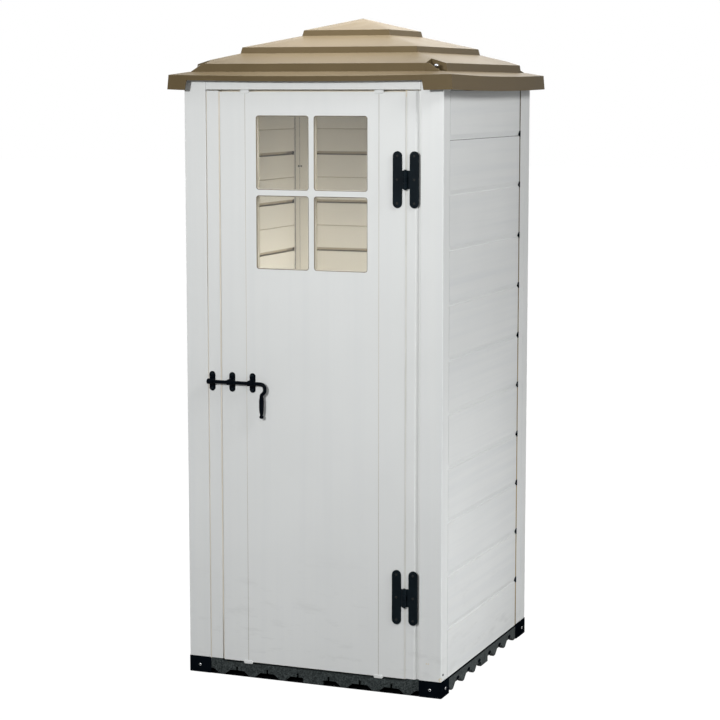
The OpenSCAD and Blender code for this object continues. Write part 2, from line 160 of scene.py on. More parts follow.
def remap(tree, value, low, high, out_low=0.0, out_high=1.0):
    """Stretches the span from low to high of a value to a new span, and stops at its ends."""
    node = tree.nodes.new("ShaderNodeMapRange")
    node.inputs["From Min"].default_value = low
    node.inputs["From Max"].default_value = high
    node.inputs["To Min"].default_value = out_low
    node.inputs["To Max"].default_value = out_high
    tree.links.new(value, node.inputs["Value"])
    return node.outputs["Result"]


def math_node(tree, operation, a, b=0):
    """One Math node; a and b are sockets or plain numbers."""
    node = tree.nodes.new("ShaderNodeMath")
    node.operation = operation
    for socket, value in zip(node.inputs, (a, b)):
        if isinstance(value, (int, float)):
            socket.default_value = value
        else:
            tree.links.new(value, socket)
    return node.outputs["Value"]


def mix_colour(tree, share, a, b):
    """Mixes from a to b by share; a and b are sockets or colours."""
    node = tree.nodes.new("ShaderNodeMix")
    node.data_type = "RGBA"
    tree.links.new(share, node.inputs["Factor"])
    for name, value in (("A", a), ("B", b)):
        socket = next(s for s in node.inputs if s.name == name and s.type == "RGBA")
        if isinstance(value, tuple):
            socket.default_value = value
        else:
            tree.links.new(value, socket)
    return next(s for s in node.outputs if s.type == "RGBA")


def bump(tree, height, distance, strength=1.0, under=None):
    """A bump of that height in metres, on top of another bump if one is given."""
    node = tree.nodes.new("ShaderNodeBump")
    node.inputs["Distance"].default_value = distance
    node.inputs["Strength"].default_value = strength
    tree.links.new(height, node.inputs["Height"])
    if under is not None:
        tree.links.new(under, node.inputs["Normal"])
    return node.outputs["Normal"]


def finish_with(tree, principled, colour=None, roughness=None, normal=None):
    """Plugs the made sockets into the Principled shader."""
    for name, socket in (("Base Color", colour), ("Roughness", roughness), ("Normal", normal)):
        if socket is not None:
            tree.links.new(socket, principled.inputs[name])

# %% [markdown]
# ## The studio
#
# The shed stands on a white floor in a white room. A floor of white plaster would need so much
# light to look white that the shed would be washed out. So most of the floor's brightness for
# the camera and for reflections is its own, and the rest is lit like any surface, which keeps
# the shed's soft shadow. For light on its way the floor is a plain mid grey that throws little
# up at the walls. The same switch makes the room behind pure white while the light that it gives
# stays low. Under the shed there is hardly any light, so that patch of the floor is painted
# shade: a near-black face of its own, which makes the little arches below the floor tiles show
# black.
# %% White room and floor
def seen_directly(tree):
    """1 for what the camera, a mirror or clear plastic shows, 0 for light on its way."""
    path = tree.nodes.new("ShaderNodeLightPath")
    seen = math_node(tree, "MAXIMUM", path.outputs["Is Camera Ray"], path.outputs["Is Glossy Ray"])
    return math_node(tree, "MAXIMUM", seen, path.outputs["Is Transmission Ray"])


ROOM_LIGHT = 0.11
FLOOR_GLOW = 1.18
FLOOR_GLOW_SHARE = 0.85
FLOOR_SIZE = 40
FLOOR_DROP = 0.2 * MM
FLOOR_GREY = linear(140, 140, 140)
# Painted shade: the near-black patch of floor under the shed.
UNDER_SHED_SHADE = linear(14, 15, 16)
UNDER_SIDE = HALF_W - 30 * MM
UNDER_FRONT = HALF_D - 2 * MM

world = bpy.data.worlds.new("white_room")
bpy.context.scene.world = world
world.use_nodes = True
room = world.node_tree
background = room.nodes["Background"]
background.inputs["Color"].default_value = (1, 1, 1, 1)
room.links.new(remap(room, seen_directly(room), 0, 1, ROOM_LIGHT, 1.0),
               background.inputs["Strength"])

floor_material, floor_tree, floor_principled = new_material("studio_floor", 0.9, specular=0.1)
floor_principled.inputs["Base Color"].default_value = FLOOR_GREY
floor_glow = floor_tree.nodes.new("ShaderNodeEmission")
floor_glow.inputs["Strength"].default_value = FLOOR_GLOW
floor_mix = floor_tree.nodes.new("ShaderNodeMixShader")
floor_tree.links.new(math_node(floor_tree, "MULTIPLY", seen_directly(floor_tree),
                               FLOOR_GLOW_SHARE), floor_mix.inputs["Fac"])
floor_tree.links.new(floor_principled.outputs["BSDF"], floor_mix.inputs[1])
floor_tree.links.new(floor_glow.outputs["Emission"], floor_mix.inputs[2])
floor_tree.links.new(floor_mix.outputs["Shader"],
                     floor_tree.nodes["Material Output"].inputs["Surface"])
under_shade_material, _, under_shade_principled = new_material("floor_in_the_dark", 0.9, specular=0.0)
under_shade_principled.inputs["Base Color"].default_value = UNDER_SHED_SHADE


def square(half_x, half_y):
    """The corners of a rectangle on the floor, which lies a hair below the feet."""
    return [(x * half_x, y * half_y, -FLOOR_DROP)
            for x, y in ((-1, -1), (1, -1), (1, 1), (-1, 1))]


floor_mesh = bpy.data.meshes.new("studio_floor")
floor_mesh.from_pydata(square(FLOOR_SIZE, FLOOR_SIZE) + square(UNDER_SIDE, UNDER_FRONT), [],
                       [(0, 1, 5, 4), (1, 2, 6, 5), (2, 3, 7, 6), (3, 0, 4, 7), (4, 5, 6, 7)])
floor_mesh.materials.append(floor_material)
floor_mesh.materials.append(under_shade_material)
floor_mesh.polygons[4].material_index = 1
floor = bpy.data.objects.new("studio_floor", floor_mesh)
bpy.context.scene.collection.objects.link(floor)
print("floor", 2 * FLOOR_SIZE, "m wide, dark under the shed for", round(2 * UNDER_SIDE, 3), "m")

# %% [markdown]
# ## The lamps
#
# One big soft lamp would light a white box evenly and hide its edges. Nine area lamps share the
# work here, so that each face gets its own level. A small one far in front, a little to the
# left, gives the bolt its crisp shadow on the door. A soft one near the door makes its top
# brighter than its foot. Two lamps on the right light the side wall, one of them low. One hangs
# over the roof and a big one stands high behind the shed. They light the slopes far more than
# the upright steps between them. Two small ones inside stand for the daylight that comes
# through thin white plastic, and the last one lights the back.
# %% Lamps
ROOF_TINT = (0.92, 0.98, 1.16)
INSIDE_TINT = (1.0, 1.0, 0.97)


def lamp(name, place, target, size, power, tint=(1, 1, 1), spread=180):
    """A square area lamp that looks from place to target and stays unseen itself. Its light
    leaves within a cone of spread degrees."""
    data = bpy.data.lights.new(name, "AREA")
    data.size = size
    data.energy = power
    data.color = tint
    data.spread = math.radians(spread)
    lamp_object = bpy.data.objects.new(name, data)
    lamp_object.location = place
    direction = Vector(target) - Vector(place)
    lamp_object.rotation_euler = direction.to_track_quat("-Z", "Y").to_euler()
    lamp_object.visible_camera = False
    bpy.context.scene.collection.objects.link(lamp_object)
    print(name, power, "W")


lamp("key_lamp", (-0.4, -4.6, 2.35), (0, -0.41, 1.0), size=0.25, power=124)
lamp("front_lamp", (0.6, -1.9, 1.95), (0, -0.41, 1.5), size=0.8, power=4.4)
lamp("side_lamp", (2.4, -1.0, 3.0), (0.41, 0, 0.9), size=0.8, power=43)
lamp("low_side_lamp", (1.7, -0.4, 0.2), (0.41, -0.3, 0.15), size=0.6, power=11.5)
lamp("sky_lamp", (-0.6, 2.8, 3.4), (0, 0, 1.9), size=2.6, power=38)
lamp("roof_lamp", (0.0, -0.05, 2.95), (0, -0.04, 1.9), size=0.85, power=14.5, tint=ROOF_TINT,
     spread=80)
lamp("inner_lamp", (0.14, 0.0, 0.72), (-0.25, 0.2, 1.5), size=0.3, power=1.35,
     tint=INSIDE_TINT)
lamp("inner_side_lamp", (0.26, -0.08, 0.88), (-0.39, 0.22, 1.2), size=0.16, power=0.7,
     tint=INSIDE_TINT, spread=70)
lamp("back_lamp", (-2.8, 2.6, 1.6), (-0.2, 0.2, 0.9), size=1.4, power=45)

# %% [markdown]
# ## White wall plastic
#
# Walls, posts and door are extruded white plastic. Extrusion leaves faint lines along the
# length of a profile, and the surface has a soft sheen rather than a gloss. The plastic is
# whitest on the outside. Edges, gaps and reveals are painted darker as shade, in beige and
# cream, and the inner faces are cream. Each face could have its own material, but then every
# thin edge would need one too. Instead the material measures how far a point lies behind the
# outer faces of the shed and turns from white to cream over a few millimetres, which paints
# that shade. In the planks the zone between the two skins, which only shows in channels and
# joints, is a dull brown of painted shade. Near the ground the white is a little scuffed, and
# the foot of the right front post has three small yellowish rings.
# %% Wall plastic
WHITE = linear(215, 217, 216)
WHITE_SHADE = linear(211, 213, 212)
SHADE_CREAM = linear(216, 210, 196)
DOOR_SHADE_CREAM = linear(198, 190, 170)
GAP_SHADE_BROWN = linear(84, 72, 56)
GAP_SHADE_BEIGE = linear(168, 155, 130)
STREAK = linear(204, 207, 208)
GRIME = linear(203, 205, 204)
GRIME_TOP = 0.45
STAIN = linear(206, 188, 140)
STAIN_W = 1.3 * MM
STAINS = [((HALF_W - 2 * MM, -HALF_D, FOOT_TOP + 7 * MM), 4.5 * MM),
          ((HALF_W - 46 * MM, -HALF_D, FOOT_TOP + 52 * MM), 0.6 * MM),
          ((HALF_W - 40 * MM, -HALF_D, FOOT_TOP + 52 * MM), 0.6 * MM)]


def split_place(tree):
    """The X, Y and Z of a point in the shed's own metres."""
    place = tree.nodes.new("ShaderNodeTexCoord")
    split = tree.nodes.new("ShaderNodeSeparateXYZ")
    tree.links.new(place.outputs["Object"], split.inputs["Vector"])
    return split.outputs


def depth_behind_faces(tree):
    """How far a point lies behind the nearest of the shed's four outer faces, in metres."""
    place = split_place(tree)
    across = math_node(tree, "SUBTRACT", HALF_W, math_node(tree, "ABSOLUTE", place["X"]))
    along = math_node(tree, "SUBTRACT", HALF_D, math_node(tree, "ABSOLUTE", place["Y"]))
    return math_node(tree, "MINIMUM", across, along)


def near_ring(tree, centre, radius, width):
    """1 on a thin sphere shell round a point, which draws a ring where it cuts a surface."""
    place = tree.nodes.new("ShaderNodeTexCoord")
    distance = tree.nodes.new("ShaderNodeVectorMath")
    distance.operation = "DISTANCE"
    distance.inputs[1].default_value = centre
    tree.links.new(place.outputs["Object"], distance.inputs[0])
    off = math_node(tree, "SUBTRACT", distance.outputs["Value"], radius)
    return remap(tree, math_node(tree, "ABSOLUTE", off), 0.3 * width, width, 1, 0)


def wall_plastic(name, lines, inside, streaks, specular=0.2):
    """White plastic. lines is small on the axis that the extrusion lines run along, streaks is
    how strongly they show, and the third argument is a list of (depth in mm, depth in mm,
    colour) steps that follow the white: painted shade that darkens edges, gaps and hollows by
    how far they lie behind the outer faces."""
    material, tree, principled = new_material(name, specular=specular)
    cloud = noise(tree, 2.2, 3)
    streak = noise(tree, 160, 2, lines)
    scuff = noise(tree, 9, 5, (1, 1, 4), 0.65)
    colour = mix_colour(tree, remap(tree, cloud, 0.35, 0.65), WHITE, WHITE_SHADE)
    broad = noise(tree, 34, 3, lines)
    colour = mix_colour(tree, remap(tree, broad, 0.45, 0.75, 0, streaks), colour, STREAK)
    low_down = remap(tree, split_place(tree)["Z"], 0.1, GRIME_TOP, 1, 0)
    grime = math_node(tree, "MULTIPLY", low_down, remap(tree, scuff, 0.56, 0.72))
    colour = mix_colour(tree, grime, colour, GRIME)
    for centre, radius in STAINS:
        colour = mix_colour(tree, near_ring(tree, centre, radius, STAIN_W), colour, STAIN)
    # Painted shade: the colour darkens step by step with the depth behind the outer faces.
    depth = depth_behind_faces(tree)
    for start, end, tint in inside:
        colour = mix_colour(tree, remap(tree, depth, start * MM, end * MM), colour, tint)
    rough = remap(tree, streak, 0.3, 0.7, 0.36, 0.46)
    normal = bump(tree, streak, 0.06 * MM)
    normal = bump(tree, noise(tree, 900, 1), 0.03 * MM, under=normal)
    finish_with(tree, principled, colour, rough, normal)
    return material


# Painted shade: these depth steps darken the edges of the posts, the jamb steps, the door reveals
# and the joints and channels of the planks. The inner faces of the planks end up cream.
UPRIGHT = (1, 1, 0.02)
PLANK_DEPTH_SHADE = [(5, 7, GAP_SHADE_BROWN), (13, 16, GAP_SHADE_BEIGE), (20.6, 21.6, SHADE_CREAM)]
upright_plastic = wall_plastic("upright_white_plastic", UPRIGHT, [(1.5, 5, SHADE_CREAM)], 0.35)
jamb_plastic = wall_plastic("jamb_white_plastic", UPRIGHT, [(8.5, 10, SHADE_CREAM)], 0.35)
door_plastic = wall_plastic("door_white_plastic", UPRIGHT, [(0.9, 3, DOOR_SHADE_CREAM)], 0.22)
side_plank_plastic = wall_plastic("side_plank_plastic", (1, 0.02, 1), PLANK_DEPTH_SHADE, 0.8, 0.12)
back_plank_plastic = wall_plastic("back_plank_plastic", (0.02, 1, 1), PLANK_DEPTH_SHADE, 0.8, 0.12)
print("white turns to cream at", PLANK_DEPTH_SHADE[-1][0], "mm in the planks")

# %% [markdown]
# ## Roof plastic
#
# The roof is one thin moulding in brown plastic with a fine leathery grain from the mould. The
# grain could be real dents, but they are smaller than a tenth of a millimetre, so a bump is
# enough. The colour wanders a little, as sun and rain leave it. It is the brown of the upright
# edges. The slopes get much more light from above and show it far paler.
# %% Roof plastic
ROOF_BROWN = linear(92, 79, 56)
ROOF_WORN = linear(98, 85, 62)
ROOF_FLECK = linear(83, 71, 49)


def roof_plastic():
    """Brown plastic with a leathery grain."""
    material, tree, principled = new_material("brown_roof_plastic", specular=0.03)
    cloud = noise(tree, 5, 4)
    fleck = noise(tree, 420, 2)
    colour = mix_colour(tree, remap(tree, cloud, 0.3, 0.7), ROOF_BROWN, ROOF_WORN)
    colour = mix_colour(tree, remap(tree, fleck, 0.45, 0.8, 0, 0.35), colour, ROOF_FLECK)
    rough = remap(tree, cloud, 0.3, 0.7, 0.38, 0.44)
    normal = bump(tree, fleck, 0.08 * MM)
    normal = bump(tree, noise(tree, 1400, 1), 0.03 * MM, under=normal)
    finish_with(tree, principled, colour, rough, normal)
    return material


brown_plastic = roof_plastic()
print(brown_plastic.name, len(brown_plastic.node_tree.nodes), "nodes")

# %% [markdown]
# ## Floor, feet and black hardware
#
# The floor tiles are pressed from recycled plastic: dark grey, coarse, with paler specks. The
# corner feet are smoother and nearly black. Hinges and bolt have a black powder coat, which is
# a fine orange-peel bump with a dull shine. One dark material for all of them would be shorter,
# but coarse, smooth and coated black catch the light in three different ways.
# %% Dark plastics and powder coat
def tile_plastic():
    """Coarse recycled plastic: dark, with paler specks and patches."""
    material, tree, principled = new_material("grey_tile_plastic", specular=0.05)
    coarse = noise(tree, 210, 4, roughness=0.7)
    patch = noise(tree, 45, 3)
    colour = mix_colour(tree, remap(tree, coarse, 0.38, 0.64), linear(26, 31, 31),
                        linear(76, 82, 82))
    colour = mix_colour(tree, remap(tree, patch, 0.4, 0.7, 0, 0.5), colour, linear(42, 47, 47))
    rough = remap(tree, coarse, 0.3, 0.7, 0.5, 0.75)
    normal = bump(tree, coarse, 0.5 * MM)
    finish_with(tree, principled, colour, rough, normal)
    return material


def foot_plastic():
    """Smooth, nearly black plastic."""
    material, tree, principled = new_material("black_foot_plastic", specular=0.0)
    fine = noise(tree, 700, 2)
    cloud = noise(tree, 20, 2)
    colour = mix_colour(tree, remap(tree, cloud, 0.35, 0.65), linear(5, 9, 14),
                        linear(10, 15, 20))
    rough = remap(tree, fine, 0.3, 0.7, 0.38, 0.5)
    finish_with(tree, principled, colour, rough, bump(tree, fine, 0.08 * MM))
    return material


def powder_coat(name, *shades, specular):
    """A coat that wanders between two shades, with an orange-peel bump."""
    material, tree, principled = new_material(name, specular=specular)
    peel = noise(tree, 800, 2)
    cloud = noise(tree, 35, 2)
    colour = mix_colour(tree, remap(tree, cloud, 0.35, 0.65), *shades)
    rough = remap(tree, peel, 0.3, 0.7, 0.24, 0.36)
    finish_with(tree, principled, colour, rough, bump(tree, peel, 0.1 * MM))
    return material


grey_plastic = tile_plastic()
black_plastic = foot_plastic()
black_coat = powder_coat("black_powder_coat", linear(12, 19, 24), linear(16, 24, 29),
                         specular=0.03)
bolt_coat = powder_coat("black_bolt_enamel", linear(2, 5, 11), linear(5, 9, 15), specular=0.02)
worn_coat = powder_coat("worn_powder_coat", linear(34, 37, 38), linear(42, 43, 42),
                        specular=0.05)
for coat in (black_coat, bolt_coat, worn_coat):
    print(coat.name, len(coat.node_tree.nodes), "nodes")

# %% [markdown]
# ## Screws and window panes
#
# The pale screws are zinc plated: a metal whose roughness changes from spot to spot. The window
# panes are clear acrylic sheets. Light has to pass through them into the shed, and a bending
# glass shader would stop it, so the pane is see-through for light on its way and a smooth
# clear shader for everything else.
# %% Zinc and clear panes
def zinc():
    """Spotted zinc plating."""
    material, tree, principled = new_material("zinc_plate", metallic=1.0)
    spots = noise(tree, 500, 3)
    colour = mix_colour(tree, remap(tree, spots, 0.35, 0.65), linear(168, 169, 169),
                        linear(120, 121, 122))
    finish_with(tree, principled, colour, remap(tree, spots, 0.3, 0.7, 0.25, 0.45),
                bump(tree, spots, 0.04 * MM))
    return material


def clear_acrylic():
    """A clear sheet that is slightly wavy and casts no shadow."""
    material, tree, principled = new_material("clear_pane", roughness=0.03)
    principled.inputs["Base Color"].default_value = (0.97, 0.98, 0.98, 1)
    principled.inputs["Transmission Weight"].default_value = 1.0
    principled.inputs["IOR"].default_value = 1.49
    waves = noise(tree, 14, 1)
    finish_with(tree, principled, normal=bump(tree, waves, 0.3 * MM, 0.3))
    path = tree.nodes.new("ShaderNodeLightPath")
    through = tree.nodes.new("ShaderNodeBsdfTransparent")
    mix = tree.nodes.new("ShaderNodeMixShader")
    tree.links.new(path.outputs["Is Shadow Ray"], mix.inputs["Fac"])
    tree.links.new(principled.outputs["BSDF"], mix.inputs[1])
    tree.links.new(through.outputs["BSDF"], mix.inputs[2])
    tree.links.new(mix.outputs["Shader"], tree.nodes["Material Output"].inputs["Surface"])
    return material


zinc_plate = zinc()
clear_pane = clear_acrylic()
print("metal:", zinc_plate.name, " clear:", clear_pane.name)

# %% [markdown]
# ## Seals and foam
#
# Rubber seals and strips of foam fill the gaps between the hard pieces. They are dull and their
# colour wanders along their length. Some are darker high up or low down on the real shed, where
# the gap round them is deeper and holds more shade. A few more colours that take over from one
# height to another paint that shade, so a long seal doesn't have to be cut into pieces. The
# darkest colour here is no seal but painted shade: it goes on bars that stand for the shadow in
# narrow gaps and seams.
# %% Seals and foam
def soft_seal(name, *shades, specular=0.2, shade_heights=None):
    """A matt rubber or foam that wanders between two colours along its length. The height
    steps are a list of (height, height, colour) in metres: from the first to the second it turns
    to that colour, which is painted shade that changes with height."""
    material, tree, principled = new_material(name, roughness=0.8, specular=specular)
    cloud = noise(tree, 60, 3, (1, 1, 0.15))
    colour = mix_colour(tree, remap(tree, cloud, 0.35, 0.65), *shades)
    for start, end, tint in shade_heights or []:
        colour = mix_colour(tree, remap(tree, split_place(tree)["Z"], start, end), colour, tint)
    finish_with(tree, principled, colour, normal=bump(tree, noise(tree, 600, 2), 0.1 * MM))
    return material


pale_seal = soft_seal("pale_seal", linear(214, 208, 197), linear(203, 196, 183))
white_seal = soft_seal("white_seal", linear(213, 213, 209), linear(203, 203, 197))
rim_seal = soft_seal("rim_seal", linear(126, 115, 93), linear(98, 89, 72))
# Painted shade: the thread between the door panels is dark near the ground and near the top, and
# pale in between.
line_seal = soft_seal("line_seal", linear(128, 113, 86), linear(112, 98, 74), shade_heights=[
    (0.3, 0.75, linear(180, 168, 144)), (1.35, 1.7, linear(128, 112, 84))])
# Painted shade: the foam beside the strips darkens from half a metre up to a metre and a half.
brown_foam = soft_seal("brown_foam", linear(172, 150, 104), linear(140, 120, 80), specular=0.0,
                       shade_heights=[(0.5, 1.5, linear(88, 74, 54))])
# Painted shade: a near-black colour for bars that stand for the shadow in gaps and seams.
dark_foam = soft_seal("dark_foam", linear(70, 64, 54), linear(30, 28, 25), specular=0.0)
print("materials so far:", len(bpy.data.materials))

# %% [markdown]
# ## Tools for the pieces
#
# A frame piece comes as loose triangles with knife-sharp edges. The tool below works on a copy:
# it welds the points, melts the triangles of each flat face together, rounds every real edge
# with a Bevel modifier and keeps the flat faces flat with weighted normals. Moulded plastic
# never has a truly sharp edge, and the thin highlight along a rounded edge is what makes it
# look solid. The modifiers are turned into a plain mesh before the piece is handed over.
# %% Mesh tools
WELD = 0.01 * MM


def link_new(name, mesh):
    """A new object at the origin, in the scene."""
    piece = bpy.data.objects.new(name, mesh)
    bpy.context.scene.collection.objects.link(piece)
    return piece


def settle(piece, name):
    """Turns an object with modifiers into a plain mesh object of that name."""
    graph = bpy.context.evaluated_depsgraph_get()
    mesh = bpy.data.meshes.new_from_object(piece.evaluated_get(graph))
    mesh.name = name
    bpy.data.objects.remove(piece)
    return link_new(name, mesh)


def tidy_mesh(mesh, flat_angle=0.3):
    """Welds points, merges flat triangles, drops stray edges and turns every face outwards."""
    work = bmesh.new()
    work.from_mesh(mesh)
    bmesh.ops.remove_doubles(work, verts=work.verts, dist=WELD)
    bmesh.ops.dissolve_limit(work, angle_limit=math.radians(flat_angle), verts=work.verts,
                             edges=work.edges)
    bmesh.ops.delete(work, geom=[e for e in work.edges if not e.link_faces], context="EDGES")
    bmesh.ops.recalc_face_normals(work, faces=work.faces)
    work.to_mesh(mesh)
    work.free()


def mirror(piece, x_side, y_side):
    """Mirrors a mesh in the planes X = 0 and Y = 0 where a side is -1."""
    for vertex in piece.data.vertices:
        vertex.co.x *= x_side
        vertex.co.y *= y_side
    tidy_mesh(piece.data)


def round_edges(piece, width, segments=2, angle=30):
    """Bevels edges sharper than the angle and returns the plain result."""
    piece.data.shade_smooth()
    bevel = piece.modifiers.new("round", "BEVEL")
    bevel.width = width
    bevel.segments = segments
    bevel.limit_method = "ANGLE"
    bevel.angle_limit = math.radians(angle)
    bevel.use_clamp_overlap = True
    weighted = piece.modifiers.new("flat faces", "WEIGHTED_NORMAL")
    weighted.keep_sharp = True
    return settle(piece, piece.name)


def hand_over(piece, material, body, slot, *nodes):
    """Gives a finished piece its material, its body and the frame nodes that it stands for."""
    if material is not None:
        piece.data.materials.clear()
        piece.data.materials.append(material)
    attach(piece, body)
    if nodes:
        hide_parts(*nodes)
    print(f"{piece.name}: {len(piece.data.polygons)} faces on {body}")


def dress(node, material, slot, width, segments=2):
    """A rounded copy of one frame node that stands for it."""
    piece = link_new(node + "_dressed", frame["nodes"][node].data.copy())
    tidy_mesh(piece.data)
    piece = round_edges(piece, width, segments)
    hand_over(piece, material, frame["nodes"][node]["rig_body"], slot, node)

# %% [markdown]
# Many details are simple solids: bars, ovals, domes and wedges. Blender's primitives could be
# scaled and turned into place, but a piece has to have its place in its mesh. So a solid is
# built from outlines of points that already are where they belong, with faces between one
# outline and the next.
# %% Solids from outlines
def bridge(name, *outlines):
    """A solid between closed outlines of 3-D points, one after another, with closed ends."""
    work = bmesh.new()
    rings = [[work.verts.new(point) for point in outline] for outline in outlines]
    count = len(rings[0])
    for lower, upper in zip(rings, rings[1:]):
        for i in range(count):
            j = (i + 1) % count
            work.faces.new((lower[i], lower[j], upper[j], upper[i]))
    work.faces.new(rings[0][::-1])
    work.faces.new(rings[-1])
    bmesh.ops.recalc_face_normals(work, faces=work.faces)
    mesh = bpy.data.meshes.new(name)
    work.to_mesh(mesh)
    work.free()
    return link_new(name, mesh)


def prism(name, outline, low, high):
    """An upright bar: an outline of (x, y) points run from one height to another."""
    return bridge(name, *[[(x, y, z) for x, y in outline] for z in (low, high)])


def turned(name, rings, centre=(0, 0, 0), sides=24):
    """A turned upright shape: rings of (radius, height) round a centre."""
    return bridge(name, *[[(centre[0] + r * math.cos(t), centre[1] + r * math.sin(t),
                            centre[2] + h) for t in (math.tau * k / sides for k in range(sides))]
                          for r, h in rings])


def join(name, pieces):
    """One object out of several."""
    work = bmesh.new()
    for piece in pieces:
        work.from_mesh(piece.data)
        bpy.data.objects.remove(piece)
    mesh = bpy.data.meshes.new(name)
    work.to_mesh(mesh)
    work.free()
    return link_new(name, mesh)

# %% [markdown]
# ## Tools for Geometry Nodes
#
# What repeats on the shed is made by Geometry Nodes: the planks of a wall, the black bars of
# painted shade at their joints, the beads round the panes and the screws. A tree is built once
# and used by several objects, each with its own sizes. A modifier knows its inputs by
# identifier, so a small helper looks the identifier up by the input's name. Copies that a tree
# makes are only instances, so every tree makes them real in the end and gives them their
# material.
# %% Geometry Nodes tools
def new_tree(name, inputs):
    """An empty geometry tree with named inputs, given as {name: socket type}."""
    tree = bpy.data.node_groups.new(name, "GeometryNodeTree")
    tree.interface.new_socket("Geometry", in_out="INPUT", socket_type="NodeSocketGeometry")
    for label, kind in inputs.items():
        tree.interface.new_socket(label, in_out="INPUT", socket_type="NodeSocket" + kind)
    tree.interface.new_socket("Geometry", in_out="OUTPUT", socket_type="NodeSocketGeometry")
    return tree, tree.nodes.new("NodeGroupInput"), tree.nodes.new("NodeGroupOutput")


def step(tree, kind, links, **values):
    """Adds a node, links sockets into it by input name and sets its other inputs."""
    node = tree.nodes.new(kind)
    for socket_name, source in links.items():
        tree.links.new(source, node.inputs[socket_name])
    for socket_name, value in values.items():
        node.inputs[socket_name.replace("_", " ")].default_value = value
    return node


def stacked(tree, geometry, count, pitch):
    """The node output that repeats a geometry upwards. count and pitch are sockets."""
    rise = step(tree, "ShaderNodeCombineXYZ", {"Z": pitch})
    line = step(tree, "GeometryNodeMeshLine", {"Count": count, "Offset": rise.outputs["Vector"]})
    return on_points(tree, line.outputs["Mesh"], geometry)


def on_points(tree, points, geometry, **links):
    """The node output that copies a geometry to points."""
    return step(tree, "GeometryNodeInstanceOnPoints",
                {"Points": points, "Instance": geometry, **links}).outputs["Instances"]


def real(tree, instances):
    """The node output that turns instances into real meshes."""
    return step(tree, "GeometryNodeRealizeInstances", {"Geometry": instances}).outputs["Geometry"]


def end_tree(tree, geometry, tree_in, tree_out):
    """Gives the geometry the tree's material and ends the tree with it."""
    coated = step(tree, "GeometryNodeSetMaterial",
                  {"Geometry": geometry, "Material": tree_in.outputs["Material"]})
    tree.links.new(coated.outputs["Geometry"], tree_out.inputs["Geometry"])
    print(tree.name, len(tree.nodes), "nodes")


def run_tree(name, tree, source_mesh, **values):
    """Runs a tree on a new object with the given inputs and returns the plain mesh object."""
    piece = link_new(name, source_mesh)
    modifier = piece.modifiers.new(tree.name, "NODES")
    modifier.node_group = tree
    keys = {item.name: item.identifier for item in tree.interface.items_tree
            if item.in_out == "INPUT"}
    for label, value in values.items():
        modifier[keys[label.replace("_", " ")]] = value
    return settle(piece, name)

# %% [markdown]
# ## The planks
#
# A wall is eleven hollow planks stacked tongue in groove. Each plank ends at the top in a lip
# and a cove: a shallow hollow that is dark at its top, which looks down, and bright along the
# lip, which looks up. Inside, a square channel runs along the middle of every plank. So the
# section is drawn once, as a curve, and Geometry Nodes sweep it along the plank and stack the
# planks. A hair's breadth stays open between two planks, so that each keeps its own closed
# skin. On the side walls only the inner skin runs on behind the upright strip to the back post,
# which is a second, thinner section.
# %% Plank sections
PLANK_T = 22 * MM
PLANK_TOP = PLANK_H - 0.03 * MM
LIP = 144 * MM
COVE_DEPTH = 3.4 * MM
CHANNEL_W = 12 * MM
CHANNEL_D = 5 * MM
SLOT_D = 15 * MM
SLOT_H = 4 * MM
SKIN_T = 9 * MM
INNER_V = 1.9 * MM


def cove():
    """Points up the joint: a short steep lip that looks up, then a long slope that looks down."""
    return [(0, LIP), (0.75 * COVE_DEPTH, LIP + 2.4 * MM), (COVE_DEPTH, LIP + 4 * MM),
            (0.92 * COVE_DEPTH, LIP + 5.6 * MM), (0, PLANK_TOP)]


def inner_side(channel, slot):
    """The inner face from top to bottom: a channel with a deeper slot, a small V at each joint."""
    middle = PLANK_H / 2
    half = CHANNEL_W / 2
    deep = PLANK_T - channel
    deepest = PLANK_T - slot
    ledge = middle - half + SLOT_H
    return [(PLANK_T - INNER_V, PLANK_TOP), (PLANK_T, PLANK_H - INNER_V),
            (PLANK_T, middle + half), (deep, middle + half), (deep, ledge), (deepest, ledge),
            (deepest, middle - half), (PLANK_T, middle - half), (PLANK_T, INNER_V),
            (PLANK_T - INNER_V, 0)]


def section_curve(name, points):
    """A closed outline as a curve object. Its Y is turned over, as the sweep expects it."""
    curve = bpy.data.curves.new(name, "CURVE")
    spline = curve.splines.new("POLY")
    spline.points.add(len(points) - 1)
    for point, (depth, height) in zip(spline.points, points):
        point.co = (depth, -height, 0, 1)
    spline.use_cyclic_u = True
    return link_new(name, curve)


plank_section = section_curve("plank_section",
                              [(0, 0)] + cove() + inner_side(CHANNEL_D, SLOT_D))
skin_section = section_curve("skin_section",
                             [(PLANK_T - SKIN_T, 0), (PLANK_T - SKIN_T, PLANK_TOP)]
                             + inner_side(SKIN_T - 2 * MM, SKIN_T - 1 * MM))
print("plank section points", len(plank_section.data.splines[0].points))

# %% [markdown]
# The tree sweeps the inner skin and then the full section along a straight line towards -Y,
# joins the two and repeats the plank upwards. A plank wall that runs along X is the same wall
# turned, so the tree also has an angle.
# %% The plank wall tree
wall_tree, wall_in, wall_out = new_tree("Plank wall", {
    "Section": "Object", "Skin section": "Object", "Length": "Float",
    "Skin length": "Float", "Planks": "Int", "Pitch": "Float", "Place": "Vector",
    "Angle": "Vector", "Material": "Material"})


def swept(section, start, end):
    """The nodes that sweep an outline along the Y axis from one distance to another."""
    line = tree_line(start, end)
    outline = step(wall_tree, "GeometryNodeObjectInfo", {"Object": wall_in.outputs[section]})
    return step(wall_tree, "GeometryNodeCurveToMesh",
                {"Curve": line.outputs["Curve"], "Profile Curve": outline.outputs["Geometry"]},
                Fill_Caps=True).outputs["Mesh"]


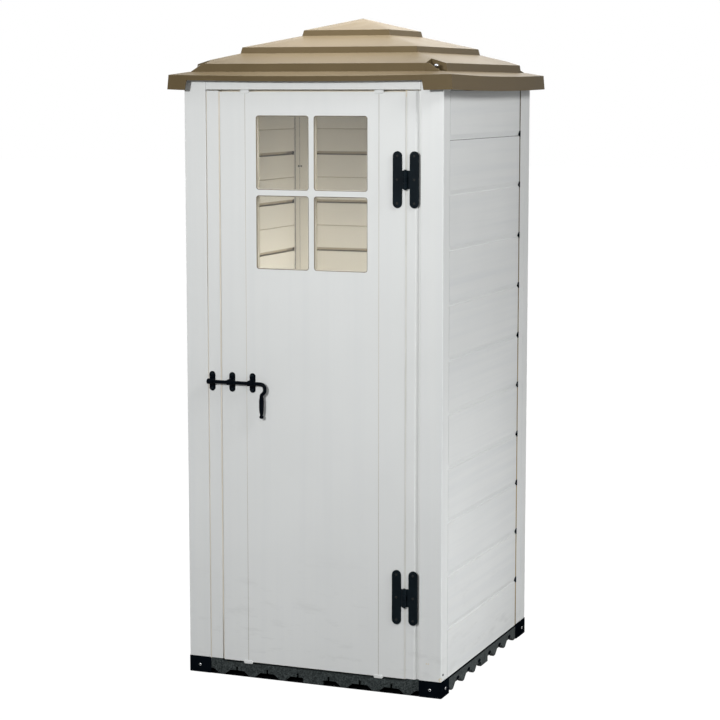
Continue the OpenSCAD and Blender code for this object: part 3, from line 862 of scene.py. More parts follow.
def tree_line(start, end):
    """A straight line along Y between two distances, which are sockets or numbers."""
    points = []
    for distance in (start, end):
        point = wall_tree.nodes.new("ShaderNodeCombineXYZ")
        if isinstance(distance, (int, float)):
            point.inputs["Y"].default_value = distance
        else:
            wall_tree.links.new(distance, point.inputs["Y"])
        points.append(point.outputs["Vector"])
    return step(wall_tree, "GeometryNodeCurvePrimitiveLine",
                {"Start": points[0], "End": points[1]})


skin_end = math_node(wall_tree, "MULTIPLY", wall_in.outputs["Skin length"], -1.0)
wall_end = math_node(wall_tree, "MULTIPLY", wall_in.outputs["Length"], -1.0)
one_plank = wall_tree.nodes.new("GeometryNodeJoinGeometry")
wall_tree.links.new(swept("Section", skin_end, wall_end), one_plank.inputs[0])
wall_tree.links.new(swept("Skin section", 0.0, skin_end), one_plank.inputs[0])
planks = stacked(wall_tree, one_plank.outputs["Geometry"], wall_in.outputs["Planks"],
                 wall_in.outputs["Pitch"])
placed = step(wall_tree, "GeometryNodeTransform",
              {"Geometry": real(wall_tree, planks), "Translation": wall_in.outputs["Place"],
               "Rotation": wall_in.outputs["Angle"]})
end_tree(wall_tree, placed.outputs["Geometry"], wall_in, wall_out)

# %% [markdown]
# Each wall reads its place and length from the frame nodes that it stands for. The left wall is
# the right one mirrored, because the strips are at the back on both sides. A mirrored mesh is
# inside out, which the tidy tool puts right.
# %% The three walls
STRIP_W = 44 * MM
STRIP_GAP = 12 * MM
POST_JOINT = 4 * MM
NO_SKIN = 0.01 * MM


def plank_wall(name, node, place, angle, length, skin, material, x_side=1):
    """A wall of planks. Over the length skin only its inner skin runs on; x_side -1 mirrors."""
    piece = run_tree(name, wall_tree, bpy.data.meshes.new(name), Section=plank_section,
                     Skin_section=skin_section, Length=length, Skin_length=skin,
                     Planks=PLANKS, Pitch=PLANK_H, Place=place, Angle=(0, 0, angle),
                     Material=material)
    mirror(piece, x_side, 1)
    piece.data.shade_smooth()
    piece.data.set_sharp_from_angle(angle=math.radians(15))
    hand_over(piece, None, "frame", "wall_white", node)


side_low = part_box("wall_right")[0]
strip_low, strip_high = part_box("side_strip_right")
STRIP_FRONT = strip_high.y - STRIP_W
for name, node, side in (("right_planks", "wall_right", 1), ("left_planks", "wall_left", -1)):
    plank_wall(name, node, (HALF_W, strip_high.y - POST_JOINT, FOOT_TOP), 0.0,
               strip_high.y - POST_JOINT - side_low.y,
               strip_high.y - POST_JOINT - STRIP_FRONT + STRIP_GAP, side_plank_plastic, side)
back_low, back_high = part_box("wall_back")
plank_wall("back_planks", "wall_back", (back_low.x, HALF_D, FOOT_TOP), math.radians(90),
           back_high.x - back_low.x, NO_SKIN, back_plank_plastic)

# %% [markdown]
# ## Posts, strips and lintel
#
# The corner posts are hollow square tubes, so their copies only need softer corners and end
# edges. The upright strips close the side walls next to the back posts. A strip is a flat
# cover, with brown foam in the joint between it and the planks.
# %% Posts, strips and lintel
for corner in ("front_left", "front_right", "back_left", "back_right"):
    dress("post_" + corner, upright_plastic, "wall_white", 1.0 * MM)
dress("lintel", upright_plastic, "wall_white", 1.2 * MM)

COVER_T = 12 * MM
FOAM_T = 6 * MM
FOAM_INSET = 0.8 * MM
JOINT_INSET = 3 * MM
JOINT_LAP = 2 * MM
HAIR = 0.2 * MM


def upright_bar(name, side, outer, inner, front, back, low, high):
    """A straight upright bar at one side wall, between two distances from the middle."""
    return prism(name, [(side * outer, front), (side * outer, back), (side * inner, back),
                        (side * inner, front)], low, high)


for side, word in ((-1, "left"), (1, "right")):
    cover = upright_bar(f"side_strip_{word}_cover", side, HALF_W, HALF_W - COVER_T, STRIP_FRONT,
                        strip_high.y, strip_low.z, strip_high.z)
    hand_over(round_edges(cover, 1.2 * MM, 3), upright_plastic, "frame", "wall_white",
              "side_strip_" + word)
    # The foam darkens from half a metre up to a metre and a half: painted shade.
    foam = upright_bar(f"side_foam_{word}", side, HALF_W - FOAM_INSET,
                       HALF_W - FOAM_INSET - FOAM_T, STRIP_FRONT - STRIP_GAP, STRIP_FRONT,
                       strip_low.z, strip_high.z)
    hand_over(foam, brown_foam, "frame", "wall_white")
    # Painted shade: a near-black bar for the shadow in the joint between the strip and the back
    # post.
    joint = upright_bar(f"post_joint_{word}", side, HALF_W - COVER_T,
                        HALF_W - PLANK_T + JOINT_INSET,
                        strip_high.y - POST_JOINT - JOINT_LAP, strip_high.y + HAIR,
                        strip_low.z, strip_high.z)
    hand_over(joint, dark_foam, "frame", "wall_white")

# %% [markdown]
# The highest joint of a side wall stands a little open and shows as a dark hairline, and so
# does the top edge of the wall below the eaves. At the foot of the walls a black gap separates
# them from the floor tiles. Inside, the back posts meet the side walls in a dark seam. All of
# these are dark bars that fill the gaps: painted shade, which stands for the shadow in each gap
# and seam.
# %% Gaps and seams
EAVE_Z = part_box("roof_shell")[0].z
SHADED_JOINT = FOOT_TOP + (PLANKS - 2) * PLANK_H + LIP
SILL_LOW = FOOT_TOP - 7 * MM
SILL_HIGH = FOOT_TOP - 0.1 * MM
SILL_OUT = 1 * MM
SILL_IN = 3 * MM
SEAMS = ((0.0, 1.8 * MM), (17 * MM, 0.8 * MM))

for side, word in ((-1, "left"), (1, "right")):
    # Painted shade: dark bars for the shadow in the highest joint and under the eaves.
    joints = [upright_bar("joint", side, HALF_W + 0.05 * MM, HALF_W - 2 * MM, side_low.y,
                          STRIP_FRONT - STRIP_GAP, z - 0.7 * MM, z + 0.5 * MM)
              for z in (SHADED_JOINT, EAVE_Z - 3 * MM)]
    hand_over(join(f"open_joints_{word}", joints), dark_foam, "frame", "wall_white")
    # Painted shade: a black bar for the shadow where the wall meets the floor tiles.
    sill = upright_bar(f"sill_gap_{word}", side, HALF_W - SILL_OUT, HALF_W - SILL_IN,
                       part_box("foot_front_" + word)[1].y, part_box("foot_back_" + word)[0].y,
                       SILL_LOW, SILL_HIGH)
    hand_over(sill, black_plastic, "frame", "floor_grey")
    post_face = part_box("post_back_" + word)[0].y
    corner = HALF_W - PLANK_T
    # Painted shade: dark bars for the shadow in the inner corner seam.
    seams = [upright_bar("seam", side, corner - start, corner - start - wide,
                         post_face - 0.15 * MM, post_face + 0.6 * MM, FOOT_TOP, WALL_TOP)
             for start, wide in SEAMS]
    hand_over(join(f"inner_seams_{word}", seams), dark_foam, "frame", "wall_white")
sill_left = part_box("foot_back_left")[1].x
sill_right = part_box("foot_back_right")[0].x
# Painted shade: a black bar for the shadow under the back wall.
back_sill_shade = prism("sill_gap_back",
                  [(sill_left, HALF_D - SILL_IN), (sill_right, HALF_D - SILL_IN),
                   (sill_right, HALF_D - SILL_OUT), (sill_left, HALF_D - SILL_OUT)],
                  SILL_LOW, SILL_HIGH)
hand_over(back_sill_shade, black_plastic, "frame", "floor_grey")

# %% [markdown]
# Where two planks meet, the back end of the joint shows a dark hole. A small black bar there
# paints it, as painted shade. There is one at every joint on both sides, so Geometry Nodes copy
# it up a line, like the planks.
# %% Plank clips
JOINT_SHADE_LONG = 2.4 * MM
JOINT_SHADE_DEEP = 10 * MM
JOINT_SHADE_PROUD = 0.2 * MM
JOINT_SHADE_RISE = 19 * MM

stack_tree, stack_in, stack_out = new_tree("Stack upwards", {
    "Count": "Int", "Pitch": "Float", "Material": "Material"})
copies = stacked(stack_tree, stack_in.outputs["Geometry"], stack_in.outputs["Count"],
                 stack_in.outputs["Pitch"])
end_tree(stack_tree, real(stack_tree, copies), stack_in, stack_out)

for side, word in ((-1, "left"), (1, "right")):
    outer = HALF_W + JOINT_SHADE_PROUD
    clip = upright_bar("one_clip", side, outer, outer - JOINT_SHADE_DEEP,
                       STRIP_FRONT - STRIP_GAP - JOINT_SHADE_LONG, STRIP_FRONT - 0.5 * MM,
                       FOOT_TOP + PLANK_H - JOINT_SHADE_RISE, FOOT_TOP + PLANK_H)
    clip = round_edges(clip, 0.3 * MM)
    joint_shade_mesh = clip.data
    bpy.data.objects.remove(clip)
    clips = run_tree(f"plank_clips_{word}", stack_tree, joint_shade_mesh, Count=PLANKS - 1,
                     Pitch=PLANK_H, Material=black_plastic)
    hand_over(clips, None, "frame", "foot_black")

# %% [markdown]
# ## The jambs
#
# The jambs are the narrow upright strips that frame the door. The right one, which carries the
# hinges, has a step beside the post that reads as a soft grey band; the left one only has a
# narrow gap there. The section of each is a simple outline, so it is drawn as points and run
# upwards. The top stays a little below the lintel, which leaves the line that shows over the
# door.
# %% Jambs
JAMB_TOP_GAP = 2.5 * MM
STOP_W = 20 * MM
STOP_T = 8 * MM


def jamb(side, band, slope, depth):
    """A jamb, side -1 on the left and 1 on the right, with a step of that band beside the
    post, whose face falls back by depth over the width of slope."""
    node = "jamb_left" if side < 0 else "jamb_right"
    low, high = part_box(node)
    stop_edge, post_edge = sorted((abs(low.x), abs(high.x)))
    leaf_edge = stop_edge + STOP_W
    stop_front = high.y - STOP_T
    outline = [(leaf_edge, low.y), (post_edge - band, low.y),
               (post_edge - band + slope, low.y + depth), (post_edge, low.y + depth),
               (post_edge, high.y), (stop_edge, high.y), (stop_edge, stop_front),
               (leaf_edge, stop_front)]
    piece = prism(node + "_dressed", [(side * x, y) for x, y in outline], low.z,
                  high.z - JAMB_TOP_GAP)
    piece = round_edges(piece, 0.9 * MM)
    hand_over(piece, jamb_plastic, "frame", "wall_white", node)
    return leaf_edge, post_edge


jamb_edge, post_edge = jamb(-1, 3 * MM, 0.5 * MM, 5 * MM)
jamb(1, 15 * MM, 9 * MM, 7 * MM)

# %% [markdown]
# ## Door seals
#
# The door leaf hangs with a gap of five millimetres all round, and soft seals on the frame fill
# most of it, so that it only shows as a fine line. Straight bars would do, but on the real shed
# the line changes along its length. So a seal is a thin bar between outlines at several
# heights. The left one lies deep near the ground and comes forward further up. The one beside
# the left post does the opposite, and one closes the gap above the leaf. The right one is white
# and nearly flush.
# %% Door seals
SEAL_SLIT = 0.8 * MM
SEAL_T = 6 * MM
TOP_SEAL_FRONT = 0.8 * MM


def seal_outline(near_leaf, near_frame, front, z):
    """A seal's outline at one height; its face lies that far behind the front."""
    return [(near_leaf, FRONT_Y + front, z), (near_leaf, FRONT_Y + front + SEAL_T, z),
            (near_frame, FRONT_Y + front + SEAL_T, z), (near_frame, FRONT_Y + front, z)]


leaf_left, leaf_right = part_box("door_panel_left")[0].x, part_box("door_panel_right")[1].x
leaf_foot, leaf_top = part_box("door_panel_left")[0].z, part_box("door_panel_left")[1].z
lintel_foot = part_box("lintel")[0].z


def leaf_height(share):
    """The height at a share of the way up the leaf."""
    return leaf_foot + share * (leaf_top - leaf_foot)


seals = [
    bridge("seal_left", *[
        seal_outline(leaf_left - slit * MM, -jamb_edge, depth * MM, z)
        for slit, depth, z in ((2.8, 6, leaf_foot), (2.4, 5, leaf_height(0.05)),
                               (0.6, 0.8, leaf_height(0.1)), (0.5, 0.5, leaf_height(0.5)),
                               (0.4, 0.4, leaf_height(0.8)), (0.2, 0.2, leaf_height(0.86)),
                               (0.2, 0.15, lintel_foot))]),
    bridge("seal_post", *[
        seal_outline(-(post_edge - 3.2 * MM), -post_edge, depth * MM, z)
        for depth, z in ((1.0, leaf_foot), (1.0, leaf_height(0.5)), (3.0, leaf_height(0.7)),
                         (3.0, leaf_top))]),
    bridge("seal_top",
           *[[(x, FRONT_Y + depth, z)
              for depth, z in ((TOP_SEAL_FRONT, leaf_top + SEAL_SLIT),
                               (SEAL_T, leaf_top + SEAL_SLIT), (SEAL_T, lintel_foot),
                               (TOP_SEAL_FRONT, lintel_foot))]
             for x in (-jamb_edge, jamb_edge)])]
hand_over(round_edges(join("door_seals", seals), 0.3 * MM), pale_seal, "frame", "wall_white")
right_seal = bridge("seal_right", *[seal_outline(leaf_right + 0.3 * MM, jamb_edge, 0.2 * MM, z)
                                    for z in (leaf_foot, lintel_foot)])
hand_over(round_edges(right_seal, 0.2 * MM), white_seal, "frame", "wall_white")

# %% [markdown]
# ## Floor tiles and feet
#
# The floor is four tiles on rows of small pads with arches between them, and a boot at each
# corner. Both are copies of the frame's own solids with rounder edges. Along the sides each
# arch ends in a wider mouth that looks black. A boolean could cut the mouths into the tiles, but
# it leaves ragged edges, so flat black ovals are set into their faces instead: painted shade for
# the dark inside of each mouth.
# %% Floor tiles and feet
for corner in ("front_left", "front_right", "back_left", "back_right"):
    dress("floor_tile_" + corner, grey_plastic, "floor_grey", 0.8 * MM)
    dress("foot_" + corner, black_plastic, "foot_black", 1.5 * MM, 3)

PAD_PITCH = 101 * MM
VENT_MOUTH_W = 26 * MM
VENT_MOUTH_H = 13 * MM
VENT_MOUTH_Z = 22.5 * MM
MOUTH_DEPTHS = (2.6 * MM, 1.9 * MM)
MOUTH_SIDES = 20
MOUTHS_PER_TILE = 3


def vent_shade_oval(side, y):
    """A flat oval of painted shade that faces sideways, round the slot above one arch."""
    outline = [(y + VENT_MOUTH_W / 2 * math.cos(t), VENT_MOUTH_Z + VENT_MOUTH_H / 2 * math.sin(t))
               for t in (math.tau * k / MOUTH_SIDES for k in range(MOUTH_SIDES))]
    return bridge("mouth", *[[(side * (HALF_W - depth), oy, oz) for oy, oz in outline]
                             for depth in MOUTH_DEPTHS])


mouths = [vent_shade_oval(side, y_side * (k + 0.5) * PAD_PITCH)
          for side in (-1, 1) for y_side in (-1, 1) for k in range(MOUTHS_PER_TILE)]
hand_over(join("side_vent_mouths", mouths), black_plastic, "frame", "floor_grey")

# %% [markdown]
# ## The roof
#
# The roof is a stepped pyramid of thin plastic with generous round edges. A wide moulding like
# this never hangs quite straight: between its corners each eave sags a few millimetres. The
# copy of the frame's roof is first cut into narrow slices, so that its straight edges have
# points to bend at. Then each point beyond the walls sinks by a parabola along the eave, and
# last of all the edges are rounded.
# %% The roof
EAVE_SAG = 5 * MM
SLICE = 64 * MM
SAG_START = HALF_W + 0.5 * MM
ROOF_EDGE = 3 * MM


def slice_mesh(mesh, axis, reach):
    """Cuts a mesh with evenly spaced planes square to an axis, without changing its shape."""
    work = bmesh.new()
    work.from_mesh(mesh)
    count = round(reach / SLICE)
    for i in range(-count, count + 1):
        normal = [0, 0, 0]
        normal[axis] = 1
        place = [0, 0, 0]
        place[axis] = reach * i / (count + 1)
        bmesh.ops.bisect_plane(work, geom=work.verts[:] + work.edges[:] + work.faces[:],
                               dist=0.001 * MM, plane_co=place, plane_no=normal)
    work.to_mesh(mesh)
    work.free()


def sag_eaves(mesh, half_w, half_d):
    """Sinks what lies beyond the walls, most in the middle of each side and none at a corner."""
    for vertex in mesh.vertices:
        x, y = abs(vertex.co.x) / half_w, abs(vertex.co.y) / half_d
        out = (max(x, y) * half_w - SAG_START) / (half_w - SAG_START)
        if out > 0:
            vertex.co.z -= EAVE_SAG * out ** 0.5 * (1 - min(x, y) ** 2)


roof = link_new("roof_dressed", frame["nodes"]["roof_shell"].data.copy())
tidy_mesh(roof.data)
roof_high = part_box("roof_shell")[1]
for axis, reach in ((0, roof_high.x), (1, roof_high.y)):
    slice_mesh(roof.data, axis, reach)
sag_eaves(roof.data, roof_high.x, roof_high.y)
roof = round_edges(roof, ROOF_EDGE, 3, 28)
hand_over(roof, brown_plastic, "frame", "roof_brown", "roof_shell")

# %% [markdown]
# ## Roof screw pockets
#
# Each corner of the lowest step has a pocket for the screw that holds the roof to its post. At
# the front and the back a triangular web of the step runs on across the pocket, and the screw
# stands on a small boss. One corner is described, and the other three are its mirror images.
# %% Roof pockets
POCKET_START = 349.5 * MM
POCKET_FLOOR = 1831 * MM
STEP_FOOT = 398.5 * MM
STEP_LEAN = 4 * MM
STEP_H = 23 * MM
WEB_T = 4 * MM
WEB_TOP_W = 9 * MM
BOSS_PLACE = 374 * MM


def web_outline(inset):
    """The triangle of the web, moved inwards by its thickness for the second side."""
    points = [(POCKET_START, 0), (STEP_FOOT - STEP_LEAN, 0), (POCKET_START + WEB_TOP_W, STEP_H),
              (POCKET_START, STEP_H)]
    return [(x, -(STEP_FOOT - STEP_LEAN * z / STEP_H) + inset, POCKET_FLOOR + z)
            for x, z in points]


def four_corners(name, make):
    """Joins a piece with its mirror images at the other three corners."""
    pieces = []
    for x_side in (1, -1):
        for y_side in (1, -1):
            piece = make()
            mirror(piece, x_side, y_side)
            pieces.append(piece)
    return join(name, pieces)


webs = four_corners("roof_webs", lambda: bridge("web", web_outline(0), web_outline(WEB_T)))
hand_over(round_edges(webs, 1.0 * MM), brown_plastic, "frame", "roof_brown")
boss_place = (BOSS_PLACE, -BOSS_PLACE, POCKET_FLOOR - 1 * MM)
bosses = four_corners("roof_bosses", lambda: turned("boss", [
    (9 * MM, 0), (8 * MM, 8 * MM), (7 * MM, 9.5 * MM)], boss_place))
hand_over(round_edges(bosses, 0.8 * MM), brown_plastic, "frame", "roof_brown")
roof_screws = four_corners("roof_screws", lambda: turned("roof_screw", [
    (3 * MM, 8 * MM), (3 * MM, 14 * MM), (6.8 * MM, 14.5 * MM), (7 * MM, 16 * MM),
    (6 * MM, 18.5 * MM), (4 * MM, 20 * MM), (2.4 * MM, 20.4 * MM), (2 * MM, 18.5 * MM)],
    boss_place))
roof_screws.data.shade_smooth()
hand_over(roof_screws, zinc_plate, "frame", "roof_brown")

# %% [markdown]
# ## The door
#
# The leaf is three upright panels. Their edges are rounded just enough to draw a fine line
# where two panels meet, and a thread of beige sealant lies at the bottom of that line. The
# panes are plain sheets already, so the frame's own pieces stay and only get the clear
# material.
# %% Door leaf
THREAD_FACE = 0.3 * MM
THREAD_DEEP = 1.6 * MM
THREAD_HALVES = (0.9 * MM, 1.5 * MM)

for part in ("left", "center", "right"):
    dress("door_panel_" + part, door_plastic, "door_white", 0.8 * MM)
panes = frame["nodes"]["window_glazing"]
panes.data.materials.clear()
panes.data.materials.append(clear_pane)

panel_joints = (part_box("door_panel_left")[1].x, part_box("door_panel_right")[0].x)
threads = [prism("thread", [(x - half, FRONT_Y + THREAD_FACE), (x + half, FRONT_Y + THREAD_FACE),
                            (x, FRONT_Y + THREAD_DEEP)], leaf_foot, leaf_top)
           for x, half in zip(panel_joints, THREAD_HALVES)]
hand_over(join("panel_joint_threads", threads), line_seal, "door", "door_white")

# %% [markdown]
# Each opening of the window has round corners, and two beads run round it: a thin dull one on
# the outer rim and a thicker pale one against the pane. A curve could be drawn for every pane.
# Geometry Nodes do it once: they make the outline of a pane, sweep a small round section along
# it and copy the result to the middles of the four panes.
# %% Glazing beads
PANE_W = 168 * MM
PANE_H = 217.5 * MM
BAR = 17 * MM
PANE_R = 8 * MM

bead_tree, bead_in, bead_out = new_tree("Beads round panes", {
    "Width": "Float", "Height": "Float", "Corner": "Float", "Thickness": "Float",
    "Material": "Material"})
rim = step(bead_tree, "GeometryNodeCurvePrimitiveQuadrilateral",
           {"Width": bead_in.outputs["Width"], "Height": bead_in.outputs["Height"]})
soft_rim = step(bead_tree, "GeometryNodeFilletCurve",
                {"Curve": rim.outputs["Curve"], "Radius": bead_in.outputs["Corner"]})
soft_rim.mode = "POLY"
soft_rim.inputs["Count"].default_value = 6
upright_rim = step(bead_tree, "GeometryNodeTransform",
                   {"Geometry": soft_rim.outputs["Curve"]},
                   Rotation=(math.radians(90), 0, 0))
bead_section = step(bead_tree, "GeometryNodeCurvePrimitiveCircle",
                    {"Radius": bead_in.outputs["Thickness"]}, Resolution=8)
bead = step(bead_tree, "GeometryNodeCurveToMesh",
            {"Curve": upright_rim.outputs["Geometry"],
             "Profile Curve": bead_section.outputs["Curve"]})
beads = on_points(bead_tree, bead_in.outputs["Geometry"], bead.outputs["Mesh"])
end_tree(bead_tree, real(bead_tree, beads), bead_in, bead_out)

pane_low, pane_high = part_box("window_glazing")
pane_middle = (pane_low + pane_high) / 2
pane_middles = [(pane_middle.x + x * (PANE_W + BAR) / 2, pane_middle.z + z * (PANE_H + BAR) / 2)
                for x in (-1, 1) for z in (-1, 1)]
for name, thick, depth, material in (("rim_beads", 1.0 * MM, 0.7 * MM, rim_seal),
                                     ("pane_beads", 1.8 * MM, 8.5 * MM, pale_seal)):
    bead_mesh = bpy.data.meshes.new(name)
    bead_mesh.from_pydata([(x, FRONT_Y + depth, z) for x, z in pane_middles], [], [])
    round_beads = run_tree(name, bead_tree, bead_mesh, Width=PANE_W - thick,
                           Height=PANE_H - thick, Corner=PANE_R, Thickness=thick,
                           Material=material)
    tidy_mesh(round_beads.data, flat_angle=0.01)
    round_beads.data.shade_smooth()
    hand_over(round_beads, None, "door", "door_white")

# %% [markdown]
# The solid openings have square corners. A small white wedge with a hollow front edge fills each
# of the sixteen corners and makes it round.
# %% Round corners of the panes
WEDGE_LAP = 0.3 * MM
WEDGE_DEPTHS = (0.1 * MM, 11 * MM)
WEDGE_STEPS = 6


def corner_wedge(x, z, x_side, z_side):
    """A wedge between a square corner and the arc that replaces it."""
    tip = (x + x_side * (PANE_W / 2 + WEDGE_LAP), z + z_side * (PANE_H / 2 + WEDGE_LAP))
    centre = (x + x_side * (PANE_W / 2 - PANE_R), z + z_side * (PANE_H / 2 - PANE_R))
    outline = [tip, (centre[0], tip[1])]
    for i in range(WEDGE_STEPS + 1):
        a = math.radians(90 - 90 * i / WEDGE_STEPS)
        outline.append((centre[0] + x_side * PANE_R * math.cos(a),
                        centre[1] + z_side * PANE_R * math.sin(a)))
    outline.append((tip[0], centre[1]))
    return bridge("wedge", *[[(px, FRONT_Y + depth, pz) for px, pz in outline]
                             for depth in WEDGE_DEPTHS])


wedges = [corner_wedge(x, z, x_side, z_side) for x, z in pane_middles
          for x_side in (-1, 1) for z_side in (-1, 1)]
hand_over(join("pane_corners", wedges), door_plastic, "door", "door_white")

# %% [markdown]
# White oval clips hold the panels together at the top and the bottom of the leaf. They are
# raised a little and have a pillow-soft edge, and they reach over the edge of the leaf.
# %% Door clips
CLIP_W = 30 * MM
CLIP_H = 11 * MM
CLIP_T = 2.4 * MM
OVAL_STEPS = 10


def oval(width, height, centre, y):
    """A round-ended outline in a plane that faces the front."""
    r = height / 2
    flat = width / 2 - r
    points = []
    for start, end in ((-90, flat), (90, -flat)):
        for i in range(OVAL_STEPS + 1):
            a = math.radians(start + 180 * i / OVAL_STEPS)
            points.append((centre[0] + end + r * math.cos(a), y, centre[1] + r * math.sin(a)))
    return points


clip_pieces = []
for x in panel_joints:
    for z in (leaf_top + 0.6 * MM, leaf_foot - 0.6 * MM):
        clip_pieces.append(bridge("clip", *[
            oval(CLIP_W - 2 * inset, CLIP_H - 2 * inset, (x, z), FRONT_Y - rise)
            for inset, rise in ((0, -0.5 * MM), (0, 1.2 * MM), (0.5 * MM, 1.9 * MM),
                                (1.5 * MM, 2.3 * MM), (3 * MM, CLIP_T))]))
door_clips = join("door_clips_dressed", clip_pieces)
door_clips.data.shade_smooth()
door_clips.data.set_sharp_from_angle(angle=math.radians(50))
hand_over(door_clips, door_plastic, "door", "door_white", "door_clips")

# %% [markdown]
# ## Hinges and bolt
#
# The H hinges and the bolt are stamped and bent steel under a black coat. Their edges are
# rounded by a millimetre or less, and a thin web closes the gap between a hinge's plate on the
# frame and its pin. The bolt's tail is bent from the same rod, so it is made
# as a curve that has its own thickness at every point: a straight neck, an elbow, a double
# bend, a swelling grip and a small ball at the end.
# %% Hinges, straps and rod
for hinge in ("upper", "lower"):
    for leaf in ("frame_leaf", "door_leaf"):
        dress(f"hinge_{hinge}_{leaf}", black_coat, "hardware_black", 0.9 * MM, 3)
    dress(f"hinge_{hinge}_pin", black_coat, "hardware_black", 1.0 * MM, 3)
for strap in ("bolt_keeper", "bolt_bracket_left", "bolt_bracket_right"):
    dress(strap, bolt_coat, "hardware_black", 1.0 * MM, 3)

HINGE_PLATE_W = 28 * MM
WEB_FRONT = FRONT_Y - 1.2 * MM
WEB_SHORT = 4 * MM

hinge_webs = []
for hinge in ("upper", "lower"):
    web_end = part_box(f"hinge_{hinge}_frame_leaf")[1].x - HINGE_PLATE_W + 1 * MM
    pin_low, pin_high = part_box(f"hinge_{hinge}_pin")
    web_start = (pin_low.x + pin_high.x) / 2 + 2 * MM
    hinge_webs.append(prism("web", [(web_end, WEB_FRONT), (web_end, FRONT_Y),
                                    (web_start, FRONT_Y), (web_start, WEB_FRONT)],
                            pin_low.z + WEB_SHORT, pin_high.z - WEB_SHORT))
hand_over(round_edges(join("hinge_webs", hinge_webs), 0.3 * MM), black_coat, "frame",
          "hardware_black")

# %% [markdown]
# The rod is a straight bar with a blunt round nose behind the keeper. The tail follows a middle
# line in one plane. Each point of that line carries the radius of the bar there, so a curve
# object with a round bevel makes the whole tail in one go.
# %% Rod and tail
ROD_R = 5.5 * MM
BAR_RESOLUTION = 6
rod_low, rod_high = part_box("bolt_rod")
keeper_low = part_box("bolt_keeper")[0]
ROD_Y = (rod_low.y + rod_high.y) / 2
ROD_Z = (rod_low.z + rod_high.z) / 2


def round_bar(name, line):
    """A round bar with closed ends along a line of (x, z, radius) points at the rod's depth."""
    curve = bpy.data.curves.new(name, "CURVE")
    curve.dimensions = "3D"
    curve.bevel_depth = 1.0
    curve.bevel_resolution = BAR_RESOLUTION
    curve.use_fill_caps = True
    spline = curve.splines.new("POLY")
    spline.points.add(len(line) - 1)
    for point, (x, z, radius) in zip(spline.points, line):
        point.co = (x, ROD_Y, z, 1)
        point.radius = radius
    bar = settle(link_new(name, curve), name)
    tidy_mesh(bar.data, flat_angle=0.01)
    bar.data.shade_smooth()
    bar.data.set_sharp_from_angle(angle=math.radians(60))
    return bar


nose = keeper_low.x - 1 * MM
rod = round_bar("bolt_rod_dressed", [
    (nose, ROD_Z, 3.6 * MM), (nose + 0.6 * MM, ROD_Z, 4.7 * MM), (nose + 1.6 * MM, ROD_Z, 5.3 * MM),
    (nose + 3 * MM, ROD_Z, ROD_R), (rod_high.x, ROD_Z, ROD_R)])
hand_over(rod, bolt_coat, "bolt_rod", "hardware_black", "bolt_rod")

NECK = 25.3 * MM
ELBOW_R = 14 * MM
DROP = 5 * MM
BEND_R = 9 * MM
SLANT = 8 * MM
BEND = math.radians(45)
GRIP = [(3, 5.7), (6, 6.4), (10, 6.9), (16, 7.1), (24, 7.1), (32, 7.0), (40, 6.7), (47, 6.0),
        (52, 5.2), (56, 4.3), (57.5, 4.6), (58.5, 5.4), (59.5, 6.2), (62, 6.6), (64.5, 5.8),
        (66, 4.4), (67, 2.6), (67.5, 1.2)]


def arc(centre, radius, start, end, steps):
    """Points on an arc between two angles in degrees, each with the rod's radius."""
    return [(centre[0] + radius * math.cos(a), centre[1] + radius * math.sin(a), ROD_R)
            for a in (math.radians(start + (end - start) * i / steps)
                      for i in range(steps + 1))]


def tail_line():
    """Neck, elbow, double bend, grip and ball, from the rod's right end."""
    turn_z = -ELBOW_R - DROP
    side = BEND_R * (1 - math.cos(BEND))
    fall = BEND_R * math.sin(BEND)
    grip_x = NECK + ELBOW_R - 2 * side - SLANT * math.sin(BEND)
    grip_z = turn_z - 2 * fall - SLANT * math.cos(BEND)
    line = [(0, 0, ROD_R)] + arc((NECK, -ELBOW_R), ELBOW_R, 90, 0, 12)
    line += arc((NECK + ELBOW_R - BEND_R, turn_z), BEND_R, 0, -45, 6)
    line += arc((grip_x + BEND_R, grip_z), BEND_R, 135, 180, 6)
    line += [(grip_x, grip_z - down * MM, radius * MM) for down, radius in GRIP]
    return [(rod_high.x + 0.2 * MM + x, ROD_Z + z, radius) for x, z, radius in line]


tail = round_bar("bolt_tail", tail_line())
hand_over(tail, bolt_coat, "bolt_handle", "hardware_black", "bolt_handle")

# %% [markdown]
# ## Screws
#
# All screws share one tree. Every head could be placed by hand, but there are more than thirty,
# and each would need its own turn. The tree puts a head on every point of a small mesh, turns
# it to face the way that the point's "facing" attribute says, spins it about its own axis by a
# random but seeded angle, and makes the copies real. The head itself is a low dome with a small
# round recess, turned from a few rings with a radius of one, and scaled to size in the tree.
# %% Screw head
HEAD_RINGS = ((1, 0), (1, 0.12), (0.93, 0.28), (0.75, 0.42), (0.52, 0.5), (0.36, 0.52),
              (0.32, 0.5), (0.28, 0.15))
screw_head = turned("screw_head", HEAD_RINGS, sides=18)
screw_head.data.shade_smooth()
screw_head.data.set_sharp_from_angle(angle=math.radians(40))
print("screw head", len(screw_head.data.polygons), "faces")

